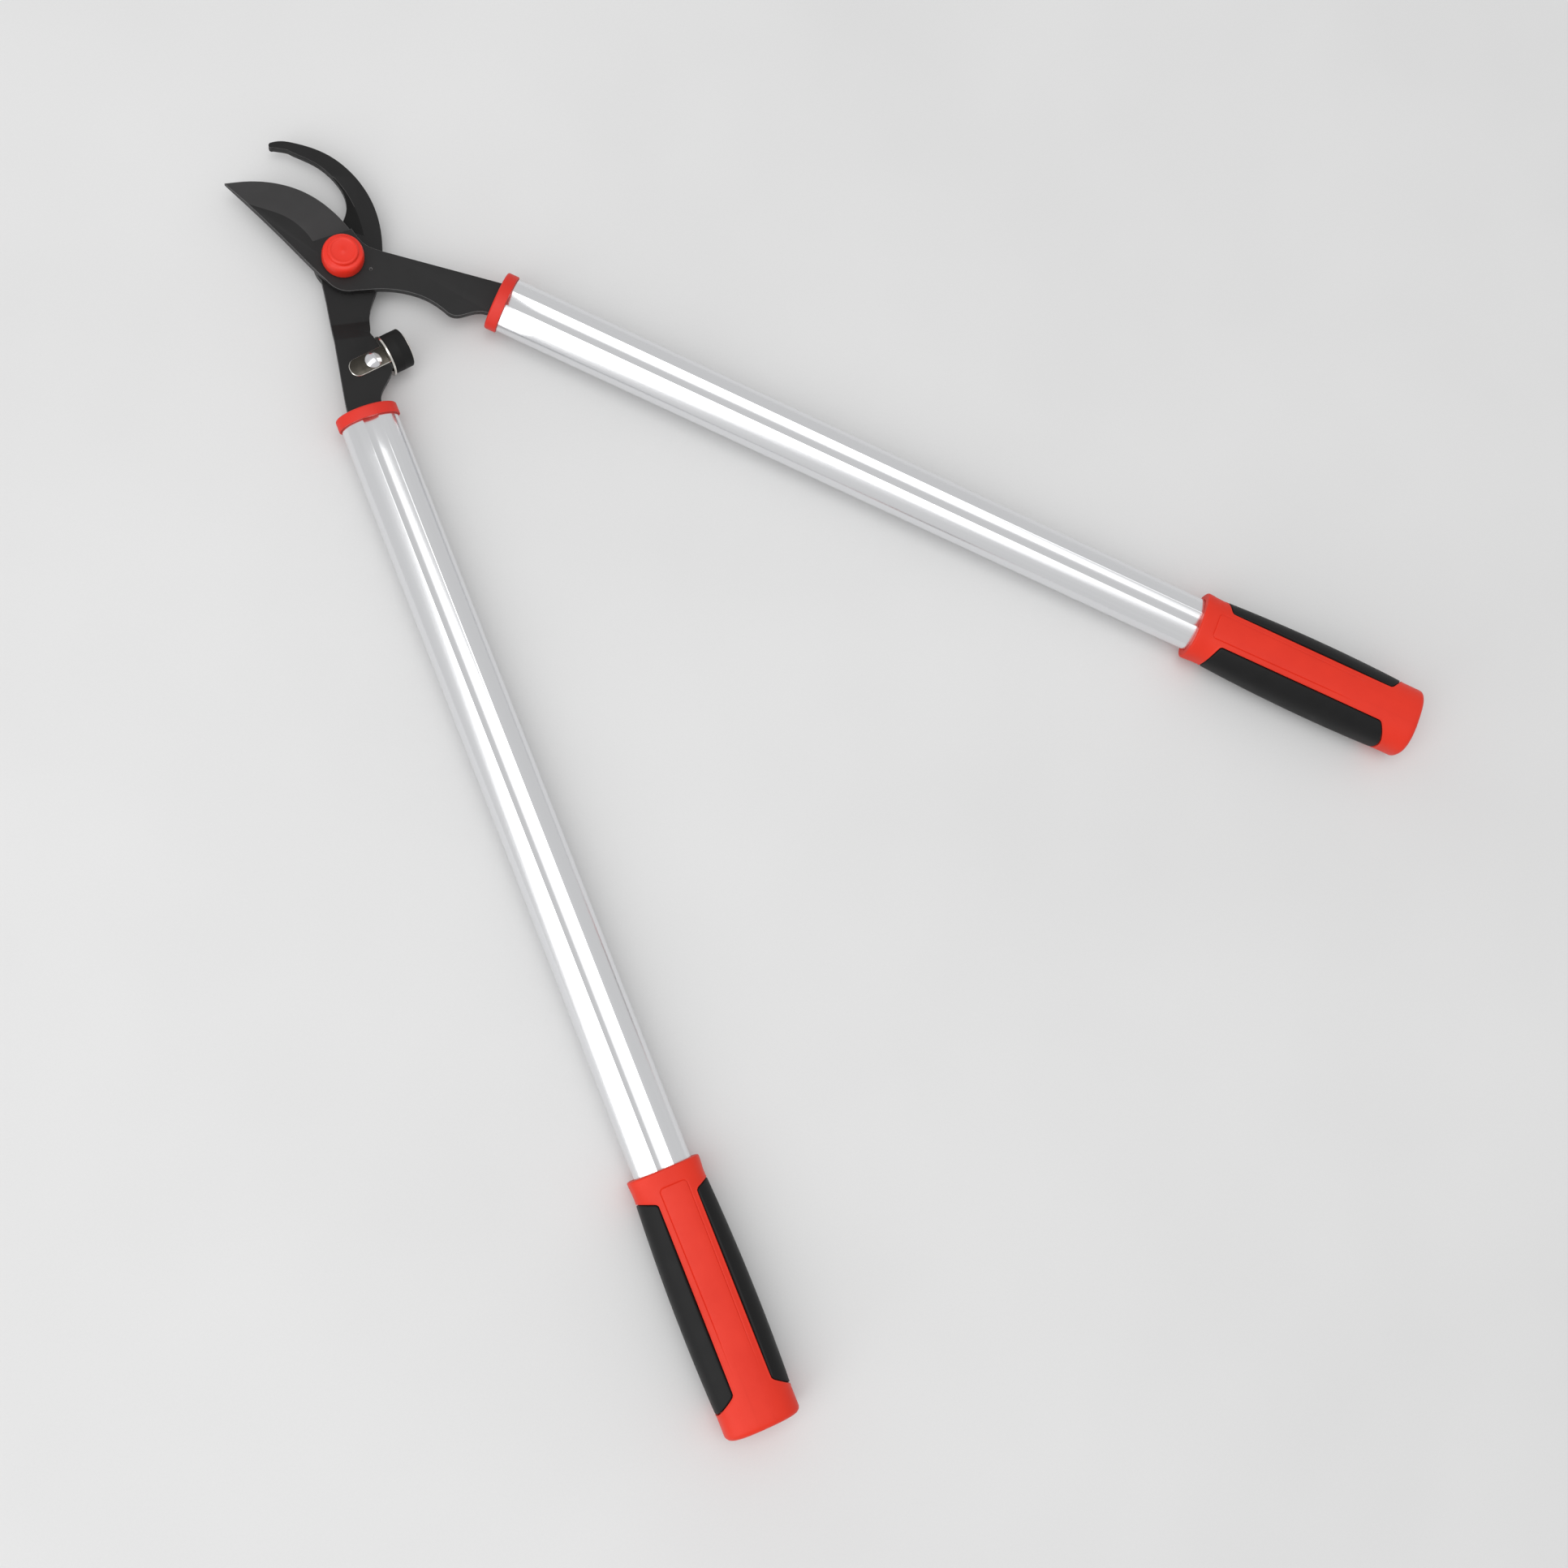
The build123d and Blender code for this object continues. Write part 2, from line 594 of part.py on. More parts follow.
keep("counter_blade", hook_arm(make_counter_blade()))
keep("cutting_blade", blade_arm(make_cutting_blade()))
keep("bumper_bracket", hook_arm(make_bumper_bracket()))
keep("bumper_rivet", hook_arm(make_bumper_rivet()))
keep("bumper_rubber", hook_arm(make_bumper_rubber()))
keep("bumper_disc", hook_arm(make_bumper_disc()))
keep("bumper_stud", hook_arm(make_bumper_stud()))

bolt_bore = BOLT_D / 2 + BOLT_CLEAR
keep("pivot_bolt", make_pivot_bolt())
keep("pivot_washer", disc(WASHER_D / 2, Z_WASHER, Z_HOOK, bolt_bore))
keep("pivot_bush", disc(BUSH_D / 2, Z_BUSH, Z_TOP_WASHER, bolt_bore))
keep("top_washer", disc(TOP_WASHER_D / 2, Z_TOP_WASHER, Z_RING, bolt_bore))
keep("lock_ring", make_lock_ring())
keep("pivot_nut", hexagon(HEX_AF, Z_NUT, Z_NUT + NUT_H) - disc(bolt_bore, 0, 40))
keep("pivot_cap", make_pivot_cap())

for arm, side, plate_t in (("left", -1, HOOK_T), ("right", 1, BLADE_T)):
    keep(f"ferrule_{arm}", on_arm(make_ferrule(plate_t), side))
    keep(f"tube_{arm}", on_arm(make_tube(), side))
    keep(f"tang_insert_{arm}", on_arm(make_tang_insert(plate_t), side))
    pins = [on_arm(pin, side) for pin in make_tang_pins()]
    keep(f"tang_pins_{arm}", Compound(children=pins))
    keep(f"grip_shell_{arm}", on_arm(make_grip_shell(), side))
    keep(f"outer_pad_{arm}", on_arm(make_grip_pad(side), side))
    keep(f"inner_pad_{arm}", on_arm(make_grip_pad(-side), side))
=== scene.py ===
"""Bypass loppers: the visible pieces, their finishes and the studio around them.

Lengths in the classes are in millimetres, as a maker reads them, and are turned
into metres where a mesh is made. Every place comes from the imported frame.
"""

import logging
import math
from dataclasses import dataclass
from enum import Enum
from typing import Callable, Optional, Sequence

import bmesh
import bpy
import numpy as np
from mathutils import Matrix, Vector


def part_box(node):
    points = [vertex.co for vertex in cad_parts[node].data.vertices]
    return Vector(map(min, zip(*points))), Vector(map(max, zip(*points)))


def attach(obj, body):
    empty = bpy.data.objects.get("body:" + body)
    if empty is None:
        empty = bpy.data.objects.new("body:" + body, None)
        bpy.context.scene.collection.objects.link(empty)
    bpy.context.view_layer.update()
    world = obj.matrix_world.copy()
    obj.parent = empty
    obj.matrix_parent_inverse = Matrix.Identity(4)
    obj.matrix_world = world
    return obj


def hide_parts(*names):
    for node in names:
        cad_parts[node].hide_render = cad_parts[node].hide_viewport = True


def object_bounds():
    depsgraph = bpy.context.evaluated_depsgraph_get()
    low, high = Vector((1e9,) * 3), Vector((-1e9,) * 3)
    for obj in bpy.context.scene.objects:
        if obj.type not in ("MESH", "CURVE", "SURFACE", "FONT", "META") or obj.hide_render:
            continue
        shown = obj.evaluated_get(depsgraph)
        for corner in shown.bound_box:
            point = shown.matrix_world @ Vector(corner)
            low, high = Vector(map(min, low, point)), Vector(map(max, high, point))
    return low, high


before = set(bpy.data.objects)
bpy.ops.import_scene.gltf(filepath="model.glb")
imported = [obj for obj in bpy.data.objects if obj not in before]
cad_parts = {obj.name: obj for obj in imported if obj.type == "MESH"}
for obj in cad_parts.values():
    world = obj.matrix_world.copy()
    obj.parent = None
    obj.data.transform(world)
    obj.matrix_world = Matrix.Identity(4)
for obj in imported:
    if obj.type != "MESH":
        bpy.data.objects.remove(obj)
cad_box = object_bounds()

log = logging.getLogger("loppers")
MM = 0.001
Socket = bpy.types.NodeSocket


class Body(Enum):
    """The two moving bodies of the tool."""

    HOOK = "hook_arm"
    BLADE = "blade_arm"


class Arm(Enum):
    """The two handles, by the ending of their node names."""

    LEFT = "left"
    RIGHT = "right"

    @property
    def body(self) -> Body:
        """The body that this handle rides on."""
        return Body.HOOK if self is Arm.LEFT else Body.BLADE


# ------------------------------------------------------------------ node wiring
class Wiring:
    """Small helper that lays out the nodes of one material."""

    def __init__(self, name: str) -> None:
        """Starts a material with a Principled shader.

        Args:
            name: The material's name.
        """
        self.material = bpy.data.materials.new(name)
        self.material.use_nodes = True
        self.tree = self.material.node_tree
        self.shader = self.tree.nodes["Principled BSDF"]
        self._coords: Optional[Socket] = None

    def node(self, kind: str, **settings: object) -> bpy.types.Node:
        """Adds a node and sets its properties.

        Args:
            kind: The node's type, without the ShaderNode in front.
            settings: Properties to set on the node.

        Returns:
            The new node.
        """
        made = self.tree.nodes.new("ShaderNode" + kind)
        for key, value in settings.items():
            setattr(made, key, value)
        return made

    def link(self, out: Socket, into: Socket) -> None:
        """Joins an output to an input."""
        self.tree.links.new(out, into)

    def coords(self, turn: float = 0.0, stretch: Sequence[float] = (1, 1, 1)) -> Socket:
        """Coordinates fixed to the piece, turned about Z and then stretched.

        Args:
            turn: Angle in radians about Z.
            stretch: Scale along each turned axis.

        Returns:
            The vector output.
        """
        if self._coords is None:
            self._coords = self.node("TexCoord").outputs["Object"]
        if turn == 0.0 and tuple(stretch) == (1, 1, 1):
            return self._coords
        turned = self.node("Mapping")
        turned.inputs["Rotation"].default_value = (0, 0, turn)
        self.link(self._coords, turned.inputs["Vector"])
        scaled = self.node("Mapping")
        scaled.inputs["Scale"].default_value = tuple(stretch)
        self.link(turned.outputs[0], scaled.inputs["Vector"])
        return scaled.outputs[0]

    def noise(self, scale: float, detail: float = 3.0, rough: float = 0.55,
              coords: Optional[Socket] = None) -> Socket:
        """A noise value.

        Args:
            scale: Scale in waves per metre.
            detail: Octaves of detail.
            rough: Roughness of the octaves.
            coords: The vector to use, or None for the plain coordinates.

        Returns:
            The noise output, about 0 to 1.
        """
        made = self.node("TexNoise")
        made.inputs["Scale"].default_value = scale
        made.inputs["Detail"].default_value = detail
        made.inputs["Roughness"].default_value = rough
        self.link(coords or self.coords(), made.inputs["Vector"])
        return made.outputs["Fac"]

    def cells(self, scale: float, coords: Optional[Socket] = None) -> Socket:
        """Distance to the nearest of many scattered points.

        Args:
            scale: Cells per metre.
            coords: The vector to use, or None for the plain coordinates.

        Returns:
            The distance output.
        """
        made = self.node("TexVoronoi")
        made.inputs["Scale"].default_value = scale
        self.link(coords or self.coords(), made.inputs["Vector"])
        return made.outputs["Distance"]

    def span(self, value: Socket, low: float, high: float,
             to_low: float, to_high: float) -> Socket:
        """Maps a range of a value onto another range, held at the ends.

        Args:
            value: The value to map.
            low: Where the range starts.
            high: Where the range ends.
            to_low: What the start becomes.
            to_high: What the end becomes.

        Returns:
            The mapped value.
        """
        made = self.node("MapRange")
        for index, number in enumerate((low, high, to_low, to_high), start=1):
            made.inputs[index].default_value = number
        self.link(value, made.inputs[0])
        return made.outputs[0]

    def blend(self, amount: Socket, under: object, over: object) -> Socket:
        """Mixes two colours.

        Args:
            amount: How much of the upper colour shows.
            under: The lower colour, three numbers or an output.
            over: The upper colour, three numbers or an output.

        Returns:
            The mixed colour.
        """
        made = self.node("Mix", data_type="RGBA")
        self.link(amount, made.inputs["Factor"])
        for index, colour in ((6, under), (7, over)):
            if isinstance(colour, bpy.types.NodeSocket):
                self.link(colour, made.inputs[index])
            else:
                made.inputs[index].default_value = (*colour, 1.0)
        return made.outputs[2]

    def sum(self, first: Socket, second: Socket, share: float = 1.0) -> Socket:
        """Adds a share of one value to another.

        Args:
            first: The value to start from.
            second: The value that is added.
            share: How much of the second value is added.

        Returns:
            The sum.
        """
        made = self.node("Math", operation="MULTIPLY_ADD")
        self.link(second, made.inputs[0])
        made.inputs[1].default_value = share
        self.link(first, made.inputs[2])
        return made.outputs[0]

    def bump(self, height: Socket, depth: float, strength: float = 1.0,
             over: Optional[Socket] = None) -> Socket:
        """A normal disturbed by a height.

        Args:
            height: The height, 0 to 1.
            depth: What a height of 1 measures, in millimetres.
            strength: The share of it that is used.
            over: A normal to add this one to.

        Returns:
            The normal.
        """
        made = self.node("Bump")
        made.inputs["Distance"].default_value = depth * MM
        made.inputs["Strength"].default_value = strength
        self.link(height, made.inputs["Height"])
        if over is not None:
            self.link(over, made.inputs["Normal"])
        return made.outputs[0]

    def set(self, **values: object) -> None:
        """Sets the shader's inputs.

        Args:
            values: Input names with _ for spaces, and a number, colour or output.
        """
        for key, value in values.items():
            socket = self.shader.inputs[key.replace("_", " ")]
            if isinstance(value, bpy.types.NodeSocket):
                self.link(value, socket)
            elif isinstance(value, tuple):
                socket.default_value = (*value, 1.0)
            else:
                socket.default_value = value


# ------------------------------------------------------------------ finishes
@dataclass(frozen=True)
class CoatedSteel:
    """Steel under a thin dark non-stick coating, with fine rubbing marks."""

    name: str
    colour: tuple[float, float, float]
    rubbed: tuple[float, float, float]
    rough: float
    shine: float = 0.3
    grain_turn: float = 0.0
    grain: float = 0.0

    def make(self) -> bpy.types.Material:
        """The material, with mottling, speckle, hairlines and a fine skin."""
        w = Wiring(self.name)
        mottle = w.noise(60.0, 4.0)
        speckle = w.cells(1500.0)
        hairs = w.noise(700.0, 2.0, coords=w.coords(self.grain_turn, (1.0, 0.05, 1.0)))
        shade = w.blend(w.span(mottle, 0.3, 0.75, 0.0, 0.5), self.colour, self.rubbed)
        shade = w.blend(w.span(hairs, 0.66, 0.78, 0.0, 0.35), shade, self.rubbed)
        dust = tuple(min(1.0, 3.0 * part) for part in self.rubbed)
        shade = w.blend(w.span(speckle, 0.06, 0.02, 0.0, 0.35), shade, dust)
        rough = w.span(mottle, 0.3, 0.7, self.rough - 0.05, self.rough + 0.09)
        skin = w.noise(2600.0, 2.0)
        normal = w.bump(skin, 0.012, 0.7)
        if self.grain:
            normal = w.bump(hairs, self.grain, 1.0, over=normal)
        w.set(Base_Color=shade, Roughness=rough, Normal=normal, Specular_IOR_Level=self.shine)
        return w.material


@dataclass(frozen=True)
class BareMetal:
    """Plated, polished, zinc or bronze metal."""

    name: str
    colour: tuple[float, float, float]
    stain: tuple[float, float, float]
    rough: float
    pits: float = 0.004

    def make(self) -> bpy.types.Material:
        """The material, with faint staining and small pits."""
        w = Wiring(self.name)
        cloud = w.noise(180.0, 4.0)
        fine = w.noise(1800.0, 3.0)
        colour = w.blend(w.span(cloud, 0.42, 0.75, 0.0, 0.8), self.colour, self.stain)
        rough = w.span(w.sum(cloud, fine, 0.5), 0.5, 1.0, self.rough, self.rough + 0.12)
        w.set(Base_Color=colour, Metallic=1.0, Roughness=rough,
              Normal=w.bump(fine, self.pits, 0.6))
        return w.material


@dataclass(frozen=True)
class DrawnAluminium:
    """Bright anodised drawn tube, with faint die lines along it."""

    name: str
    turn: float
    colour: tuple[float, float, float] = (0.84, 0.845, 0.86)
    dull: tuple[float, float, float] = (0.79, 0.795, 0.812)
    rough: float = 0.20

    def make(self) -> bpy.types.Material:
        """The material, its lines turned to run along the tube."""
        w = Wiring(self.name)
        along = w.coords(self.turn, (1.0, 0.004, 1.0))
        die_lines = w.noise(1900.0, 3.0, 0.6, coords=along)
        wide_lines = w.noise(300.0, 2.0, 0.5, coords=along)
        shade = w.blend(w.span(wide_lines, 0.35, 0.75, 0.0, 0.6), self.colour, self.dull)
        rough = w.span(die_lines, 0.35, 0.65, self.rough - 0.015, self.rough + 0.02)
        w.set(Base_Color=shade, Metallic=1.0, Roughness=rough,
              Normal=w.bump(die_lines, 0.0003, 0.5))
        return w.material


@dataclass(frozen=True)
class MouldedPlastic:
    """Moulded plastic with a fine spark-eroded skin."""

    name: str
    colour: tuple[float, float, float]
    deep: tuple[float, float, float]
    rough: float
    skin: float = 0.010
    coat: float = 0.0

    def make(self) -> bpy.types.Material:
        """The material, with flow shading, fine skin and handling scuffs."""
        w = Wiring(self.name)
        flow = w.noise(38.0, 3.0)
        scuff = w.noise(420.0, 4.0, 0.7)
        colour = w.blend(w.span(flow, 0.3, 0.75, 0.0, 1.0), self.colour, self.deep)
        rough = w.span(w.sum(flow, scuff, 0.7), 0.5, 1.2, self.rough - 0.04, self.rough + 0.10)
        skin = w.noise(3400.0, 2.0, 0.6)
        sink = w.noise(90.0, 2.0)
        normal = w.bump(skin, self.skin, 0.8)
        normal = w.bump(sink, 0.03, 0.5, over=normal)
        w.set(Base_Color=colour, Roughness=rough, Normal=normal, Specular_IOR_Level=0.28,
              Coat_Weight=self.coat, Coat_Roughness=0.18)
        return w.material


@dataclass(frozen=True)
class SoftRubber:
    """Black rubber, with a stippled grain and a little grey bloom."""

    name: str
    colour: tuple[float, float, float]
    bloom: tuple[float, float, float]
    rough: float
    stipple: float
    cell: float = 1700.0

    def make(self) -> bpy.types.Material:
        """The material, with stipple, bloom and uneven gloss."""
        w = Wiring(self.name)
        cloud = w.noise(70.0, 4.0)
        grain = w.cells(self.cell)
        fine = w.noise(3000.0, 2.0)
        colour = w.blend(w.span(cloud, 0.35, 0.8, 0.0, 0.7), self.colour, self.bloom)
        rough = w.span(cloud, 0.3, 0.7, self.rough - 0.05, self.rough + 0.08)
        normal = w.bump(grain, self.stipple, 0.8)
        normal = w.bump(fine, 0.01, 0.5, over=normal)
        w.set(Base_Color=colour, Roughness=rough, Normal=normal, Specular_IOR_Level=0.2)
        return w.material


ARM_ANGLE = 22.7  # degrees from the middle of the open tool to each handle
ARM_TURN = {Arm.LEFT: math.radians(ARM_ANGLE), Arm.RIGHT: math.radians(-ARM_ANGLE)}
GRIND_TURN = math.radians(70)  # grinding marks against the blade's length


class Paint:
    """The finishes of the tool, each made once and handed out by slot name."""

    _recipes: dict[str, object] = {
        "coated_hook_steel": CoatedSteel(
            "coated_hook_steel", (0.0085, 0.0083, 0.0085), (0.016, 0.0155, 0.0155), 0.44,
            0.22, ARM_TURN[Arm.LEFT]),
        # Same coating as the hook, painted darker and duller: painted shade on the hook's tilted
        # band.
        "painted_shade_hook_band": CoatedSteel(
            "painted_shade_hook_band", (0.0045, 0.0045, 0.0045), (0.009, 0.009, 0.009), 0.40, 0.16,
            ARM_TURN[Arm.LEFT]),
        "coated_blade_steel": CoatedSteel(
            "coated_blade_steel", (0.0115, 0.0113, 0.0115), (0.020, 0.0195, 0.0198), 0.42,
            0.25, ARM_TURN[Arm.RIGHT]),
        "ground_face": CoatedSteel(
            "ground_face", (0.032, 0.031, 0.0315), (0.044, 0.0425, 0.043), 0.36, 0.32,
            ARM_TURN[Arm.RIGHT] + GRIND_TURN, 0.006),
        # Lighter paint for the blades' broken edges: partly worn coating, partly a painted
        # highlight.
        "worn_edge_and_highlight": CoatedSteel(
            "worn_edge_and_highlight", (0.13, 0.129, 0.127), (0.24, 0.238, 0.234), 0.33, 0.5),
        "plated_bracket": BareMetal(
            "plated_bracket", (0.80, 0.78, 0.74), (0.62, 0.59, 0.54), 0.14),
        # Dark plating on the tongues' flat faces: a painted dark reflection, as the plated face
        # mirrors dark surroundings.
        "painted_dark_reflection_face": BareMetal(
            "painted_dark_reflection_face", (0.055, 0.050, 0.042), (0.030, 0.028, 0.024), 0.16),
        "bright_rivet": BareMetal("bright_rivet", (0.78, 0.78, 0.80), (0.62, 0.62, 0.65), 0.13),
        "zinc_fastener": BareMetal(
            "zinc_fastener", (0.56, 0.56, 0.55), (0.40, 0.40, 0.38), 0.30, 0.01),
        "bush_bronze": BareMetal("bush_bronze", (0.62, 0.42, 0.20), (0.42, 0.27, 0.12), 0.38, 0.01),
        "bumper_rubber": SoftRubber(
            "bumper_rubber", (0.0075, 0.0075, 0.0075), (0.014, 0.014, 0.0135), 0.62, 0.02),
        "red_cap_plastic": MouldedPlastic(
            "red_cap_plastic", (0.76, 0.030, 0.014), (0.70, 0.024, 0.011), 0.36, 0.005, 0.10),
        "red_ferrule_plastic": MouldedPlastic(
            "red_ferrule_plastic", (0.66, 0.030, 0.018), (0.60, 0.024, 0.014), 0.42, 0.008),
        "red_grip_plastic": MouldedPlastic(
            "red_grip_plastic", (0.72, 0.030, 0.010), (0.66, 0.024, 0.008), 0.44, 0.010),
        "grip_pad_rubber": SoftRubber(
            "grip_pad_rubber", (0.0060, 0.0060, 0.0062), (0.010, 0.010, 0.0102), 0.50, 0.02),
        "tube_left": DrawnAluminium("tube_aluminium_left", ARM_TURN[Arm.LEFT]),
        "tube_right": DrawnAluminium("tube_aluminium_right", ARM_TURN[Arm.RIGHT]),
        "core_nylon": MouldedPlastic(
            "core_nylon", (0.02, 0.02, 0.02), (0.03, 0.03, 0.03), 0.55, 0.012),
    }
    _made: dict[str, bpy.types.Material] = {}

    @classmethod
    def of(cls, name: str) -> bpy.types.Material:
        """The material of that name, made on first use."""
        if name not in cls._made:
            cls._made[name] = cls._recipes[name].make()
        return cls._made[name]


# ------------------------------------------------------------------ mesh tools
class Skin:
    """Gathers rings of points into one closed mesh."""

    def __init__(self) -> None:
        """Starts with no points."""
        self.points: list[np.ndarray] = []
        self.faces: list[tuple[int, ...]] = []
        self.count = 0

    def add(self, ring: np.ndarray) -> int:
        """Adds a ring of points and returns the index of its first one."""
        self.points.append(np.asarray(ring, float))
        first = self.count
        self.count += len(ring)
        return first

    def bridge(self, a: int, b: int, size: int, closed: bool = True) -> None:
        """Quads between two rings.

        Args:
            a: First index of one ring.
            b: First index of the next ring.
            size: Points in each ring.
            closed: Whether the rings join up with themselves.
        """
        for i in range(size if closed else size - 1):
            j = (i + 1) % size
            self.faces.append((a + i, a + j, b + j, b + i))

    def skin(self, rings: Sequence[np.ndarray], loop: bool = False) -> None:
        """Closed rings joined in order.

        Args:
            rings: The rings, all with as many points.
            loop: Whether the last ring also joins the first.
        """
        firsts = [self.add(ring) for ring in rings]
        size = len(rings[0])
        pairs = list(zip(firsts, firsts[1:]))
        if loop:
            pairs.append((firsts[-1], firsts[0]))
        for a, b in pairs:
            self.bridge(a, b, size)
        if not loop:
            self.faces.append(tuple(range(firsts[0] + size - 1, firsts[0] - 1, -1)))
            self.faces.append(tuple(range(firsts[-1], firsts[-1] + size)))

    def object(self, name: str, to_row: Callable[[np.ndarray], np.ndarray],
               sharp: float = 40.0) -> bpy.types.Object:
        """Makes the object, smooth apart from its sharp edges.

        Args:
            name: The object's name.
            to_row: Turns local points in millimetres into row points in metres.
            sharp: Edges that turn more than this many degrees stay sharp.

        Returns:
            The linked object.
        """
        points = to_row(np.vstack(self.points))
        mesh = bpy.data.meshes.new(name)
        mesh.from_pydata(points.tolist(), [], self.faces)
        tidy = bmesh.new()
        tidy.from_mesh(mesh)
        bmesh.ops.remove_doubles(tidy, verts=tidy.verts, dist=0.002 * MM)
        bmesh.ops.recalc_face_normals(tidy, faces=tidy.faces)
        tidy.to_mesh(mesh)
        tidy.free()
        mesh.shade_smooth()
        mesh.set_sharp_from_angle(angle=math.radians(sharp))
        made = bpy.data.objects.new(name, mesh)
        bpy.context.scene.collection.objects.link(made)
        return made


@dataclass(frozen=True)
class LocalFrame:
    """A frame of a sub-assembly: across, back along its axis, and up."""

    origin: Vector
    across: Vector
    back: Vector
    up: Vector

    def to_row(self, points: np.ndarray) -> np.ndarray:
        """Row points in metres from (across, back, up) points in millimetres."""
        axes = np.array([self.across, self.back, self.up])
        return np.array(self.origin) + points * MM @ axes

    def from_row(self, points: np.ndarray) -> np.ndarray:
        """(across, back, up) points in millimetres from row points in metres."""
        axes = np.array([self.across, self.back, self.up])
        return (points - np.array(self.origin)) @ axes.T / MM


def node_points(node: str) -> np.ndarray:
    """The corner points of a CAD node, in metres."""
    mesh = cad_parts[node].data
    flat = np.zeros(len(mesh.vertices) * 3)
    mesh.vertices.foreach_get("co", flat)
    return flat.reshape(-1, 3)


def centre(node: str) -> Vector:
    """The middle of a CAD node's box, in metres."""
    low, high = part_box(node)
    return (low + high) / 2


def arm_frame(arm: Arm) -> LocalFrame:
    """The frame of one handle, read from its tube.

    Args:
        arm: Which handle.

    Returns:
        A frame with its origin in the middle of the tube's front end.
    """
    points = node_points(f"tube_{arm.value}")
    flat = points[:, :2] - points[:, :2].mean(0)
    back = np.linalg.svd(flat, full_matrices=False)[2][0]
    back = back if back[1] < 0 else -back
    back3 = Vector((back[0], back[1], 0.0)).normalized()
    across = Vector((-back3.y, back3.x, 0.0))
    level = (points[:, 2].min() + points[:, 2].max()) / 2
    along = points[:, :2] @ np.array(back3[:2])
    side = points[:, :2] @ np.array(across[:2])
    middle = (side.min() + side.max()) / 2
    origin = Vector(back3) * along.min() + across * middle + Vector((0, 0, level))
    return LocalFrame(origin, across, back3, Vector((0, 0, 1)))


def finish_piece(piece: bpy.types.Object, body: Body,
                 paints: Sequence[str], stands_for: Sequence[str]) -> bpy.types.Object:
    """Paints a piece, rides it on its body and reports it.

    Args:
        piece: The object.
        body: The body it moves with.
        paints: Names of its finishes, in the order of its material indices.
        stands_for: CAD nodes that it replaces.

    Returns:
        The same object.
    """
    slots = np.zeros(len(piece.data.polygons), dtype=np.int32)
    piece.data.polygons.foreach_get("material_index", slots)
    piece.data.materials.clear()
    for paint in paints:
        piece.data.materials.append(Paint.of(paint))
    piece.data.polygons.foreach_set("material_index", slots)
    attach(piece, body.value)
    if stands_for:
        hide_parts(*stands_for)
    log.info("%s: %d faces on %s", piece.name, len(piece.data.polygons), body.value)
    return piece


# ------------------------------------------------------------------ handle
def smooth_step(x: np.ndarray, low: float, high: float) -> np.ndarray:
    """0 below low, 1 above high, and a smooth rise between them."""
    t = np.clip((x - low) / (high - low), 0, 1)
    return t * t * (3 - 2 * t)


def both(first: np.ndarray, second: np.ndarray, radius: float) -> np.ndarray:
    """Distance inside two edges at once, with their corner rounded.

    Args:
        first: Distance inside one edge.
        second: Distance inside the other edge.
        radius: The corner's radius.

    Returns:
        Distance inside the corner.
    """
    p = np.maximum(radius - first, 0)
    q = np.maximum(radius - second, 0)
    return np.where((p > 0) & (q > 0), radius - np.hypot(p, q), np.minimum(first, second))


@dataclass(frozen=True)
class Tube:
    """Drawn oval tube with a shallow channel along its top and its bottom."""

    arm: Arm
    width: float = 32.0
    height: float = 22.0
    wall: float = 1.6
    channel: float = 9.0
    channel_deep: float = 1.1
    crease: float = 0.07
    rim: float = 0.4
    rim_step: float = 0.12
    stations: int = 24

    def level(self, x: np.ndarray, grow: float = 0.0) -> np.ndarray:
        """Height of the section above the middle plane.

        Args:
            x: Places across the tube.
            grow: How far the section is grown all round.

        Returns:
            The height at each place.
        """
        a = self.width / 2 + grow
        b = self.height / 2 + grow
        oval = b * np.sqrt(np.maximum(0, 1 - (x / a) ** 2))
        half = self.channel / 2
        lip = self.height / 2 * math.sqrt(1 - (half / (self.width / 2)) ** 2)
        radius = (half ** 2 + self.channel_deep ** 2) / (2 * self.channel_deep)
        bottom = lip - self.channel_deep + radius
        arc = bottom - np.sqrt(np.maximum(0, (radius - grow) ** 2 - x ** 2))
        arc = np.where(np.abs(x) < radius - grow - 0.5, arc, b + 5)
        low = np.minimum(oval, arc)
        return low - self.crease * np.log1p(np.exp(-np.abs(oval - arc) / self.crease))

    def ring(self, back: float, grow: float = 0.0) -> np.ndarray:
        """One closed ring across the tube.

        Args:
            back: Distance behind the tube's front end.
            grow: How far the section is grown all round.

        Returns:
            Points as (across, back, up).
        """
        a = self.width / 2 + grow
        crease = math.acos(self.channel / 2 / a)
        turns = np.concatenate([
            np.linspace(0, math.pi, 73),
            crease + np.linspace(-0.06, 0.06, 9),
            math.pi - crease + np.linspace(-0.06, 0.06, 9),
        ])
        turns = np.unique(np.round(turns, 5))
        x = a * np.cos(turns)
        z = self.level(x, grow) * (np.sin(turns) > 1e-6)
        upper = np.stack([x, np.full_like(x, back), z], 1)
        lower = upper[-2:0:-1] * np.array([1, 1, -1])
        return np.vstack([upper, lower])

    def build(self, place: LocalFrame) -> None:
        """Makes the tube and lets it stand for its CAD node."""
        node = f"tube_{self.arm.value}"
        long = place.from_row(node_points(node))[:, 1].max()
        rim, step = self.rim, self.rim_step
        skin = Skin()
        rings = [self.ring(0.0, -rim), self.ring(step, -step)]
        rings += [self.ring(s) for s in np.linspace(rim, long - rim, self.stations)]
        rings += [self.ring(long - step, -step), self.ring(long, -rim)]
        rings += [self.ring(long, -self.wall), self.ring(0.0, -self.wall)]
        skin.skin(rings, loop=True)
        piece = skin.object(f"drawn_tube_{self.arm.value}", place.to_row, sharp=50.0)
        finish_piece(piece, self.arm.body, [node], [node])


